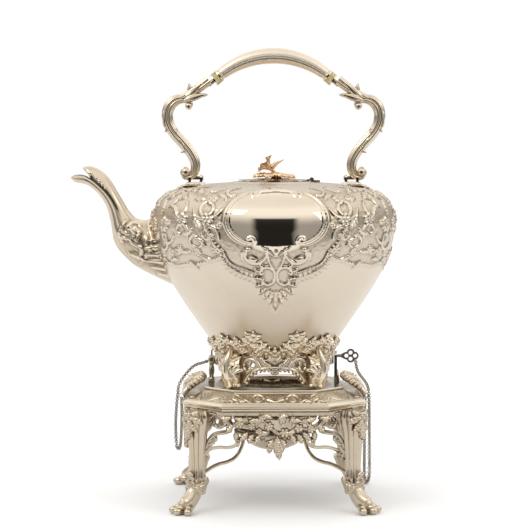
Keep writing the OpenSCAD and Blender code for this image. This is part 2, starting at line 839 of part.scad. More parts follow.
module lock_plate() {
    color(silver) placed() difference() {
        union() {
            translate([lock_plate_x, -lock_plate_half, deck_z])
                cube([lock_plate_t, 2 * lock_plate_half, lock_z - deck_z]);
            translate([lock_plate_x + lock_plate_t / 2, 0, lock_z])
                along_x(lock_plate_half, lock_plate_t);
            translate([lock_plate_x + lock_plate_t / 2, 0, deck_z])
                cylinder(r1 = 3.4, r2 = 2.8, h = 11);
        }
        translate([lock_plate_x, 0, lock_z])
            along_x(lock_hole_r, 4 * lock_plate_t);
        translate([-big, -big / 2, 0])
            cube([big + lock_plate_x, big, big]);
    }
}

// The pin stands drawn clear of the kettle, still held in the stand's plate
lock_head_x = lock_plate_x + lock_plate_t + lock_travel;

module lock_pin() {
    shaft_l = lock_head_x - lock_plate_x + 1;
    color(dark_silver) placed() translate([0, 0, lock_z]) {
        translate([lock_plate_x + shaft_l / 2, 0, 0])
            along_x(lock_r, shaft_l);
        translate([lock_head_x, 0, 0])
            pin_head();
    }
}

// Stand: an eight-sided rim and deck with sloping sides between them
function octagon(half, straight) = [
    [half, straight], [straight, half], [-straight, half], [-half, straight],
    [-half, -straight], [-straight, -half], [straight, -half], [half, -straight]
];
deck_straight = rim_straight * deck_half / rim_half;

module octagon_frustum(low, high, z0, z1) {
    hull() {
        translate([0, 0, z0])
            linear_extrude(eps)
                polygon(octagon(low, rim_straight * low / rim_half));
        translate([0, 0, z1 - eps])
            linear_extrude(eps)
                polygon(octagon(high, rim_straight * high / rim_half));
    }
}

module stand_deck() {
    color(silver) placed() translate([0, 0, deck_z - deck_t]) difference() {
        linear_extrude(deck_t)
            polygon(octagon(deck_half, deck_straight));
        translate([0, 0, -1])
            cylinder(r = flame_r, h = deck_t + 2);
    }
}

cove_low = rim_half - 1;
module stand_cove() {
    color(silver) placed() difference() {
        octagon_frustum(cove_low, deck_half, rim_z, deck_z - deck_t);
        octagon_frustum(cove_low - 3 * cove_t, deck_half - 3 * cove_t, rim_z - eps, deck_z - deck_t + eps);
    }
}

module stand_rim() {
    color(silver) placed() translate([0, 0, rim_z - rim_h]) difference() {
        union() {
            linear_extrude(0.4 * rim_h)
                polygon(octagon(rim_half - 1.5, rim_straight - 1));
            translate([0, 0, 0.4 * rim_h])
                linear_extrude(0.6 * rim_h)
                    polygon(octagon(rim_half, rim_straight));
        }
        translate([0, 0, -1])
            linear_extrude(rim_h + 2)
                polygon(octagon(rim_half - rim_w, rim_straight - 4));
    }
}

module border(side) {
    inner_x = tilt_x + post_w / 2 + 1;
    crest = [
        [cove_low, rim_z], [cove_low + 0.6, rim_z + 3], [cove_low - 2.6, rim_z + 8],
        [cove_low - 7.5, rim_z + 12], [inner_x + 6, deck_z + border_h - 1],
        [inner_x, deck_z + border_h + 1], [inner_x, rim_z]
    ];
    color(silver) placed() on_side(side) difference() {
        rotate([90, 0, 0])
            translate([0, 0, -border_half])
                linear_extrude(2 * border_half)
                    polygon(crest);
        octagon_frustum(cove_low, deck_half, rim_z, deck_z - deck_t);
        translate([0, 0, deck_z - deck_t])
            linear_extrude(deck_t)
                polygon(octagon(deck_half, deck_straight));
        for (end = [-1, 1])
            translate([deck_half, end * border_half, deck_z + border_h + 2])
                along_x(11, 3 * rim_half);
    }
}

module border_left() { border(-1); }
module border_right() { border(1); }

// Aprons: a rail under the rim with a garland and a pendant
apron_half = leg_xy - shaft_r - 10;
apron_top_z = rim_z - rim_h;
apron_line = smoothed([
    [0, pendant_z], [4, pendant_z + 4.5], [7, pendant_z + 9], [10, pendant_z + 13],
    [16, apron_top_z - 27.5], [22, apron_top_z - 28], [27, apron_top_z - 26], [32, apron_top_z - 24],
    [36, apron_top_z - 18], [38.5, apron_top_z - 11], [43, apron_top_z - 7.5], [apron_half, apron_top_z - 7]
], 4);
apron_edge = concat(apron_line, [[apron_half, apron_top_z]]);

module apron_outline() {
    polygon(concat(apron_edge, [for (p = reverse(apron_edge)) if (p[0] > 0) [-p[0], p[1]]]));
}

module apron(turn) {
    color(silver) placed() rotate([0, 0, turn])
        translate([0, -rim_half + apron_t + 2, 0])
            rotate([90, 0, 0])
                linear_extrude(apron_t)
                    apron_outline();
}

module apron_front() { apron(0); }
module apron_back() { apron(180); }
module apron_left() { apron(-90); }
module apron_right() { apron(90); }

// Legs, drawn about their own shaft with the toes along +X
module leg_shaft() {
    flutes = 8;
    translate([0, 0, ankle_z])
        linear_extrude(rim_z - rim_h - ankle_z)
            union() {
                circle(r = shaft_r - 1);
                for (i = [0:flutes - 1])
                    rotate([0, 0, 360 * (i + 0.5) / flutes])
                        translate([shaft_r - 1.6, 0])
                            circle(r = 1.6);
            }
}

module leg_foot() {
    difference() {
        union() {
            translate([0, 0, ankle_z])
                sphere(r = shaft_r + 2);
            hull() {
                translate([0, 0, ankle_z - 1])
                    cylinder(r = shaft_r, h = 2, $fn = 24);
                translate([toe_reach - 6, 0, 0])
                    cylinder(r = 5, h = 4, $fn = 24);
            }
            for (turn = [-26, 0, 26])
                rotate([0, 0, turn])
                    translate([toe_reach - (turn == 0 ? 0 : 1), 0, toe_r - 1])
                        sphere(r = toe_r);
        }
        translate([-big / 2, -big / 2, -big])
            cube(big);
    }
}

module leg_bracket_outline() {
    top_z = rim_z - rim_h;
    difference() {
        union() {
            polygon([
                [0, top_z], [bracket_l - 2, top_z], [bracket_l - 4, top_z - 6], [bracket_l - 14, top_z - 12],
                [shaft_r + 4, top_z - 26], [shaft_r, top_z - 40], [0, top_z - 42]
            ]);
            translate([bracket_l - 1, top_z - 9])
                circle(r = 5);
            translate([bracket_l - 12, top_z - 15])
                circle(r = 4);
        }
        translate([bracket_l - 1, top_z - 9])
            circle(r = 1.6);
        translate([shaft_r + 5, top_z - 13])
            circle(r = 3);
    }
}

module leg(index) {
    turns = [45, 135, 225, 315];
    turn = turns[index];
    top_z = rim_z - rim_h;
    color(silver) placed() rotate([0, 0, turn]) translate([leg_xy * sqrt(2), 0, 0]) {
        leg_shaft();
        leg_foot();
        difference() {
            translate([-1, 0, top_z - 11])
                sphere(r = 12);
            translate([-big / 2, -big / 2, top_z])
                cube(big);
        }
        for (side = [-1, 1])
            rotate([90, 0, 180 + side * 45])
                translate([0, 0, -apron_t / 2])
                    linear_extrude(apron_t)
                        leg_bracket_outline();
    }
}

module leg_1() { leg(0); }
module leg_2() { leg(1); }
module leg_3() { leg(2); }
module leg_4() { leg(3); }

// Burner cradle: a ring on four stays, each an S of two arcs
bowl_line = concat(
    [[0, bowl_z]],
    bezier_line(
        [0, bowl_z], [0.7 * bowl_r, bowl_z], [0.76 * bowl_r, bowl_z + 0.45 * bowl_h],
        [bowl_r, bowl_z + bowl_h], 12
    )
);
function radius_at(line, z, i = 1) =
    line[i][1] >= z || i == len(line) - 1
    ? line[i - 1][0] + (line[i][0] - line[i - 1][0]) * (z - line[i - 1][1]) / (line[i][1] - line[i - 1][1])
    : radius_at(line, z, i + 1);
ring_r = radius_at(bowl_line, ring_z + ring_wire_r) + ring_wire_r + seat_gap;
stay_end_r = leg_xy * sqrt(2) - shaft_r + 2;
stay_mid = [(ring_r + stay_end_r) / 2, (ring_z + stay_end_z) / 2];
stay_turn = 2 * atan2(ring_z - stay_end_z, stay_end_r - ring_r);
stay_arc_r = (stay_end_r - ring_r) / 2 / sin(stay_turn);

module ring_solid() {
    translate([0, 0, ring_z])
        rotate_extrude()
            translate([ring_r, 0])
                circle(r = ring_wire_r);
}

module burner_ring() {
    color(dark_silver) placed() ring_solid();
}

module stay_arc(centre_z, from) {
    translate([stay_mid[0], 0, centre_z])
        rotate([90, 0, 0])
            rotate([0, 0, from])
                rotate_extrude(angle = stay_turn)
                    translate([stay_arc_r, 0])
                        circle(r = stay_r);
}

module burner_stays() {
    color(dark_silver) placed()
        for (turn = [45, 135, 225, 315])
            rotate([0, 0, turn]) difference() {
                union() {
                    stay_arc(stay_mid[1] + stay_arc_r, 270 - stay_turn);
                    stay_arc(stay_mid[1] - stay_arc_r, 90 - stay_turn);
                    translate([stay_mid[0], 0, stay_mid[1]])
                        sphere(r = 1.5 * stay_r);
                }
                ring_solid();
                translate([leg_xy * sqrt(2), 0, 0])
                    leg_shaft();
            }
}

// Burner
burner_top_z = bowl_z + bowl_h;
wick_z = burner_top_z + wick_tube_h;

module burner_bowl() {
    inner = inset(bowl_line, bowl_wall);
    inner_line = concat(
        [[0, bowl_z + bowl_wall]],
        [for (p = inner) if (p[0] > 1 && p[1] < burner_top_z - 0.5) p],
        [[bowl_r - bowl_wall, burner_top_z]]
    );
    color(silver) placed()
        rotate_extrude()
            polygon(concat(bowl_line, reverse(inner_line)));
}

top_t = 1.4;
module burner_top() {
    color(silver) placed() translate([0, 0, burner_top_z]) difference() {
        union() {
            cylinder(r = bowl_r, h = top_t);
            translate([0, 0, top_t])
                cylinder(r1 = 24, r2 = 9, h = 3);
            for (side = [-1, 1])
                translate([snuffer_x, side * 3.2, top_t + 3])
                    hinge_ear();
        }
        translate([0, 0, -1])
            cylinder(r = wick_tube_r, h = 12);
        translate([snuffer_x, 0, snuffer_hinge_h])
            along_y(0.8, 12);
    }
}

snuffer_x = snuffer_r + 4;
snuffer_hinge_h = top_t + 4.5;

module hinge_ear() {
    ear_r = 1.8;
    translate([0, 0, snuffer_hinge_h - top_t - 3])
        along_y(ear_r, 1.8);
    translate([-ear_r, -0.9, -3])
        cube([2 * ear_r, 1.8, snuffer_hinge_h - top_t]);
}

module wick_tube() {
    color(silver) placed() translate([0, 0, burner_top_z - 12]) difference() {
        cylinder(r = wick_tube_r, h = 12 + wick_tube_h);
        translate([0, 0, -1])
            cylinder(r = wick_tube_r - 1, h = 14 + wick_tube_h);
    }
}

module wick() {
    color(cotton) placed()
        translate([0, 0, bowl_z + bowl_wall + 2])
            cylinder(r = wick_tube_r - 1, h = wick_z + 2 - bowl_z - bowl_wall - 2);
}

module snuffer() {
    cap_z = burner_top_z + top_t + 3 + seat_gap;
    cap_h = wick_z + 3.5 - cap_z;
    hinge_z = burner_top_z + snuffer_hinge_h;
    color(silver) placed() difference() {
        union() {
            translate([0, 0, cap_z])
                cylinder(r = snuffer_r, h = cap_h + 1);
            translate([0, 0, cap_z + cap_h + 1])
                cylinder(r1 = snuffer_r, r2 = 1.5, h = 2);
            translate([snuffer_x, 0, hinge_z])
                along_y(1.8, 4);
            translate([snuffer_r - 2, -2, hinge_z - 1])
                cube([snuffer_x - snuffer_r + 2, 4, 2]);
        }
        translate([0, 0, cap_z - 1])
            cylinder(r = snuffer_r - 1, h = cap_h + 1);
        translate([snuffer_x, 0, hinge_z])
            along_y(0.8 + run, 6);
    }
}

module snuffer_pin() {
    color(dark_silver) placed()
        translate([snuffer_x, 0, burner_top_z + snuffer_hinge_h])
            along_y(0.8, 9);
}

// Chains of round links, each turned a quarter from the last
link_pitch = 2 * link_r - 2 * link_wire_r - 0.12;
eye_r = 2.2;
eye_wire_r = 0.3;
eye_x = rim_half + 1.8;
eye_z = rim_z - 0.3 * rim_h;
eye_link_z = eye_z - eye_r - link_r + eye_wire_r + link_wire_r + 0.25;
function route_length(p, i = 1) = i >= len(p) ? 0 : norm(p[i] - p[i - 1]) + route_length(p, i + 1);
function along(p, s, i = 1) =
    let (step = norm(p[i] - p[i - 1]))
    s <= step || i == len(p) - 1 ? p[i - 1] + (p[i] - p[i - 1]) * s / step : along(p, s - step, i + 1);

module chain(route) {
    links = floor(route_length(route) / link_pitch);
    for (i = [0:links]) {
        s = i * link_pitch;
        at = along(route, s);
        way = along(route, s + 0.5) - along(route, s - 0.5);
        pitch_angle = atan2(way[2], norm([way[0], way[1]]));
        turn = atan2(way[1], way[0]);
        translate(at)
            rotate([0, 0, turn])
                rotate([0, -pitch_angle, 0])
                    rotate([90 * (i % 2) + 45, 0, 0])
                        rotate_extrude()
                            translate([link_r, 0])
                                circle(r = link_wire_r);
    }
}

// The last link of a chain lies beside its pin's head, clear of the head's travel
head_side = pin_head_t / 2 + seat_gap + link_r + link_wire_r + 0.1;
lock_eye_x = lock_head_x + 0.8 * pin_head_l;
chain_right_points = [
    [eye_x, 0, eye_link_z], [rim_half + 1.4, 0, 78], [rim_half + 1.2, 0.1, 55],
    [rim_half + 1.2, 1, 20], [rim_half + 2.4, 0.8, 15], [rim_half + 4.4, 0, 16],
    [rim_half + 5.6, -0.4, 24], [rim_half + 5.4, -1, 60], [rim_half + 4.8, -4, rim_z - 4],
    [rim_half + 3, -4.6, rim_z + 8], [lock_eye_x + 2.5, -3.6, lock_z - 14],
    [lock_eye_x + 0.2, -head_side, lock_z - 3.5]
];
chain_left_points = [
    [-eye_x, 0, eye_link_z], [-rim_half - 1.6, 0, 74], [-rim_half - 2.6, 0, 50],
    [-rim_half - 4.4, 0, 44.5], [-rim_half - 6.4, 0, 49], [-rim_half - 7, 3, 70],
    [-rim_half - 5.4, 8, rim_z - 2], [-rim_half - 3, 12, rim_z + 9], [-rim_half + 8, 17, deck_z + 12],
    [-tilt_x - 6, 19, tilt_z - 5], [-tilt_x - head_side, 21.5, tilt_z - 3.6]
];

module chain_right() {
    color(dark_silver) placed() chain(smoothed(chain_right_points, 6));
}

module chain_left() {
    color(dark_silver) placed() chain(smoothed(chain_left_points, 6));
}

module chain_eyes() {
    color(dark_silver) placed()
        for (side = [-1, 1])
            difference() {
                translate([side * eye_x, 0, eye_z])
                    rotate([90, 0, 0])
                        rotate_extrude()
                            translate([eye_r, 0])
                                circle(r = eye_wire_r);
                translate([-rim_half, -5, 0])
                    cube([2 * rim_half, 10, big]);
            }
}

kettle_shell();
kettle_bottom();
lid_bezel();
lid();
lid_finial();
finial_nut();
lid_hinge_leaf();
lid_hinge_pin();
spout();
handle_socket_left();
handle_socket_right();
handle_pin_left();
handle_pin_right();
handle_arm_left();
handle_arm_right();
insulator_left();
insulator_right();
ferrules();
handle_dowels();
handle_grip();
kettle_band();
kettle_foot_1();
kettle_foot_2();
kettle_foot_3();
kettle_foot_4();
tilt_barrel();
lock_tongue();
stand_deck();
stand_cove();
stand_rim();
border_left();
border_right();
apron_front();
apron_back();
apron_left();
apron_right();
leg_1();
leg_2();
leg_3();
leg_4();
tilt_posts();
lock_plate();
burner_ring();
burner_stays();
tilt_pin();
lock_pin();
chain_left();
chain_right();
chain_eyes();
burner_bowl();
burner_top();
wick_tube();
wick();
snuffer();
snuffer_pin();
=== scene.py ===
# %% [markdown]
# # A chased silver kettle on its stand
#
# The exact solids come in first. Each visible piece is then given its worked surface: chased scrolls
# on the body, pierced castings round the stand, and fluted arms and legs.
# Lengths in this script are millimetres about the kettle's own upright centre line,
# with the front at -Y and the spout at -X. They turn into metres only when a mesh is made.

# %% Read the solids
import json
import math

import bpy
import numpy as np
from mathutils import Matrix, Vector

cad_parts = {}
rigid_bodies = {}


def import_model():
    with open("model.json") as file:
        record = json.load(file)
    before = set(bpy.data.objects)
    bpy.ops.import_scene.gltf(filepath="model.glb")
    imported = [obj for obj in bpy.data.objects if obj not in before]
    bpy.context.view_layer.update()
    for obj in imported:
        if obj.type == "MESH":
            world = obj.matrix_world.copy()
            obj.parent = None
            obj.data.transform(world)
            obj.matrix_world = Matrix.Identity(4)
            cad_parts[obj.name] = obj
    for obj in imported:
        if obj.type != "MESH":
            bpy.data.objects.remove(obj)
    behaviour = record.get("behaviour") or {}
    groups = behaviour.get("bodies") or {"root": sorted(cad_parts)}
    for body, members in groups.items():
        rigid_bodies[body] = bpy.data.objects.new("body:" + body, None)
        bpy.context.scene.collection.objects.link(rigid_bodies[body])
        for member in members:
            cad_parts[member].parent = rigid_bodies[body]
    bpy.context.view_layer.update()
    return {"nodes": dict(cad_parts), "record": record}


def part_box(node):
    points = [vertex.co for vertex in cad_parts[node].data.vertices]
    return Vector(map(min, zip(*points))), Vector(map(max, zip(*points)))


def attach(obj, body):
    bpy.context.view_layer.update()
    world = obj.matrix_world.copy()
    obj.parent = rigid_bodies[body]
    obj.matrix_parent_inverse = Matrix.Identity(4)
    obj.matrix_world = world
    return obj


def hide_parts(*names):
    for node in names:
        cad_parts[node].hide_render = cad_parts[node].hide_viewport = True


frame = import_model()
nodes = frame["nodes"]
MM = 0.001
band_low, band_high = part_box("kettle_band")
MIDDLE_X = (band_low.x + band_high.x) / 2 / MM
print("centre line at x =", round(MIDDLE_X, 2), "mm;", len(nodes), "solids")

# %% [markdown]
# ## Shader maths
# A small class wraps a socket, so that the maths of a material reads as ordinary sums.

# %% Sums on sockets
class Value:
    """A number that a node gives, with the usual signs of arithmetic."""

    def __init__(self, tree, socket):
        self.tree = tree
        self.socket = socket

    def maths(self, operation, *others):
        node = self.tree.nodes.new("ShaderNodeMath")
        node.operation = operation
        for entry, term in zip(node.inputs, (self, *others)):
            if isinstance(term, Value):
                self.tree.links.new(term.socket, entry)
            else:
                entry.default_value = term
        return Value(self.tree, node.outputs[0])

    def fixed(self, number):
        node = self.tree.nodes.new("ShaderNodeValue")
        node.outputs[0].default_value = number
        return Value(self.tree, node.outputs[0])

    def __add__(self, other):
        return self.maths("ADD", other)

    def __radd__(self, other):
        return self.maths("ADD", other)

    def __sub__(self, other):
        return self.maths("SUBTRACT", other)

    def __rsub__(self, other):
        return self.fixed(other).maths("SUBTRACT", self)

    def __mul__(self, other):
        return self.maths("MULTIPLY", other)

    def __rmul__(self, other):
        return self.maths("MULTIPLY", other)

    def __neg__(self):
        return self.maths("MULTIPLY", -1.0)

    def at_least(self, other):
        return self.maths("MAXIMUM", other)

    def at_most(self, other):
        return self.maths("MINIMUM", other)

    def clamped(self):
        return self.at_least(0.0).at_most(1.0)

    def step(self, low, high):
        """0 below low, 1 above high, smooth between them."""
        node = self.tree.nodes.new("ShaderNodeMapRange")
        node.interpolation_type = "SMOOTHSTEP"
        self.tree.links.new(self.socket, node.inputs["Value"])
        node.inputs["From Min"].default_value = low
        node.inputs["From Max"].default_value = high
        return Value(self.tree, node.outputs["Result"])


class Shader:
    """The node tree of one material or of the world."""

    def __init__(self, tree):
        self.tree = tree
        tree.nodes.clear()

    def node(self, kind, settings=None, **values):
        """Any node from its type, its settings and its sockets' values or links."""
        made = self.tree.nodes.new(kind)
        for name, setting in (settings or {}).items():
            setattr(made, name, setting)
        for name, value in values.items():
            entry = made.inputs[name.replace("_", " ")]
            if isinstance(value, Value):
                self.tree.links.new(value.socket, entry)
            elif isinstance(value, bpy.types.NodeSocket):
                self.tree.links.new(value, entry)
            else:
                entry.default_value = value
        return made

    def value(self, socket):
        return Value(self.tree, socket)

    def mix(self, factor, a, b):
        """A colour between a and b."""
        made = self.tree.nodes.new("ShaderNodeMix")
        made.data_type = "RGBA"
        for entry, term in zip((made.inputs[0], made.inputs[6], made.inputs[7]), (factor, a, b)):
            if isinstance(term, Value):
                self.tree.links.new(term.socket, entry)
            elif isinstance(term, bpy.types.NodeSocket):
                self.tree.links.new(term, entry)
            elif isinstance(term, (int, float)):
                entry.default_value = term
            else:
                entry.default_value = (*term, 1.0)
        return made.outputs[2]

    def noise(self, where, scale, detail=2.0, roughness=0.5):
        made = self.node(
            "ShaderNodeTexNoise", Vector=where, Scale=scale, Detail=detail, Roughness=roughness
        )
        return self.value(made.outputs["Fac"])

    def mark(self, name):
        """A number kept at each point of a mesh."""
        made = self.node("ShaderNodeAttribute", {"attribute_name": name})
        return self.value(made.outputs["Fac"])


print("sums on sockets are ready")

# %% [markdown]
# ## Metals
# Every silver piece shares one recipe. Hollows carry a warm brown tarnish, raised work is rubbed bright,
# and a fine grain and old scratches break up the shine. Points of a mesh may carry two marks:
# `hollow` (how deep a point lies in the chasing) and a matt mark (how dull the silversmith left it).
# Matt metal is also a little darker: tarnish in the matted chasing, and painted shade on the plain belly.

# %% Silver
CLOUD, SCRATCH, GRAIN = 18.0, 260.0, 900.0


def silver(name, bright, shade, polish, dull, grain_height=0.00006, marked=True, tarnish=0.3):
    """Silver from `bright` towards `shade`, the colour of tarnish and of painted shade; roughness goes from
    `polish` to `dull`.
    """
    material = bpy.data.materials.new(name)
    material.use_nodes = True
    s = Shader(material.node_tree)
    where = s.node("ShaderNodeTexCoord").outputs["Object"]
    cloud = s.noise(where, CLOUD, 4.0, 0.6)
    grain = s.noise(where, GRAIN, 3.0, 0.6)
    fine = s.noise(where, SCRATCH, 3.0, 0.6)
    edges = s.value(s.node("ShaderNodeNewGeometry").outputs["Pointiness"])
    low_places = 1.0 - edges.step(0.44, 0.505)
    hollow = s.mark("hollow").clamped() if marked else low_places
    matt_and_shade = s.mark("matt_and_shade").clamped() if marked else low_places.fixed(0.0)
    # Colour: tarnish in hollows and cloudy patches; matt metal is a little darker too, which is tarnish in
    # the matted chasing and painted shade on the plain belly.
    tarnish_and_shade = (hollow * 0.85 + matt_and_shade * 0.13 + cloud.step(0.45, 0.75) * tarnish * (0.3 + hollow)).clamped()
    colour = s.mix(tarnish_and_shade, bright, shade)
    rough = (polish + matt_and_shade * (dull - polish) + hollow * 0.12 + (cloud - 0.5) * 0.05).at_least(0.02)
    bump = s.node(
        "ShaderNodeBump",
        Height=grain * (0.25 + matt_and_shade) + fine * (0.3 * matt_and_shade),
        Strength=0.35,
        Distance=grain_height,
    )
    shader = s.node(
        "ShaderNodeBsdfPrincipled",
        Base_Color=colour,
        Metallic=1.0,
        Roughness=rough,
        Normal=bump.outputs["Normal"],
    )
    s.node("ShaderNodeOutputMaterial", Surface=shader.outputs["BSDF"])
    return material


def coated(name, bright, shade, roughness):
    """A dull, aged material that isn't metal: an insulator or a wick."""
    material = bpy.data.materials.new(name)
    material.use_nodes = True
    s = Shader(material.node_tree)
    where = s.node("ShaderNodeTexCoord").outputs["Object"]
    streak = s.noise(where, 220.0, 5.0, 0.7)
    fine = s.noise(where, 1500.0, 2.0, 0.5)
    bump = s.node("ShaderNodeBump", Height=streak + fine * 0.5, Strength=0.4, Distance=0.0001)
    shader = s.node(
        "ShaderNodeBsdfPrincipled",
        Base_Color=s.mix(streak.step(0.35, 0.65), bright, shade),
        Roughness=(roughness + (streak - 0.5) * 0.2),
        Normal=bump.outputs["Normal"],
    )
    s.node("ShaderNodeOutputMaterial", Surface=shader.outputs["BSDF"])
    return material


BRIGHT = (0.73, 0.648, 0.535)
SHADE = (0.16, 0.105, 0.055)
MATERIALS = {
    "engraved": silver("engraved_silver", (0.80, 0.71, 0.59), SHADE, 0.12, 0.45, grain_height=0.0002),
    # The stand's silver is a darker copy of the same silver: painted shade on the legs, aprons and posts
    # low under the kettle and the rim.
    "stand": silver("shaded_stand_silver", (0.60, 0.52, 0.405), SHADE, 0.16, 0.36),
    "ivory": coated("insulator", (0.50, 0.44, 0.22), (0.30, 0.24, 0.09), 0.35),
    "cotton": coated("cotton_wick", (0.85, 0.81, 0.70), (0.62, 0.56, 0.45), 0.9),
    "body": silver("body_silver", BRIGHT, SHADE, 0.035, 0.30),
    "cast": silver("cast_silver", (0.74, 0.645, 0.51), SHADE, 0.14, 0.34),
    "plain": silver("plain_silver", (0.72, 0.64, 0.52), SHADE, 0.13, 0.3, marked=False),
    "plain_chased": silver("chased_silver", (0.72, 0.64, 0.52), SHADE, 0.10, 0.42),
    "dark": silver("dark_silver", (0.30, 0.26, 0.21), (0.08, 0.06, 0.04), 0.30, 0.4, marked=False),
    "gilt": silver("gilt_silver", (0.76, 0.56, 0.36), (0.28, 0.13, 0.06), 0.2, 0.34),
}
print(len(MATERIALS), "metals")

# %% [markdown]
# ## Relief
# Chasing is drawn on a grid of heights. Each stamp raises a stroke, a scroll, a leaf, a flower or a shell,
# and also notes how far inside the ornament each point lies, so that a casting can be cut to its outline.

# %% Lines
def heading_of(degrees):
    """How far one step in a direction goes along each axis."""
    return math.cos(math.radians(degrees)), math.sin(math.radians(degrees))


def run_of(line):
    """The distance along a line at each of its points."""
    return np.concatenate([[0], np.cumsum(np.linalg.norm(np.diff(line, axis=0), axis=1))])


def round_turn(count):
    """Angles that share out a whole turn."""
    return np.linspace(0, 2 * np.pi, count, endpoint=False)


def arc(start, heading, radius, turn, count=14, coil=1.0):
    """Points of a curve that starts at `start`, turns by `turn` degrees and tightens to coil * radius."""
    points = [np.array(start, float)]
    angle = math.radians(heading)
    total = math.radians(turn)
    for i in range(count):
        share = (i + 0.5) / count
        reach = radius * (1 - (1 - coil) * share) * abs(total) / count
        angle += total / count / 2
        points.append(points[-1] + reach * np.array([math.cos(angle), math.sin(angle)]))
        angle += total / count / 2
    return points


def smooth_line(points, count):
    """A smooth curve of `count` points through given ones."""
    p = np.array(points, float)
    ends = np.vstack([2 * p[0] - p[1], p, 2 * p[-1] - p[-2]])
    t = np.linspace(0, len(p) - 1 - 1e-9, count)
    i = t.astype(int)
    f = (t - i)[:, None]
    a, b, c, d = (ends[i + k] for k in range(4))
    return 0.5 * (2 * b + (c - a) * f + (2 * a - 5 * b + 4 * c - d) * f**2 + (3 * b - a - 3 * c + d) * f**3)


print("lines are ready")

# %% [markdown]
# Each stamp writes to a window of the sheet, and where two stamps meet the higher one stays.
# Lengths on a sheet are millimetres, `u` to the side and `v` up.

# %% Stamps
def gap_to(u, v, a, b):
    """How far points lie from the straight line from a to b, and their share of the way along it."""
    d = b - a
    t = np.clip(((u - a[0]) * d[0] + (v - a[1]) * d[1]) / (d @ d + 1e-9), 0, 1)
    return np.hypot(u - a[0] - t * d[0], v - a[1] - t * d[1]), t


def rounded(share):
    """A quarter circle: 1 at a share of 0, and 0 at 1."""
    return np.sqrt(np.clip(1 - share, 0, 1))


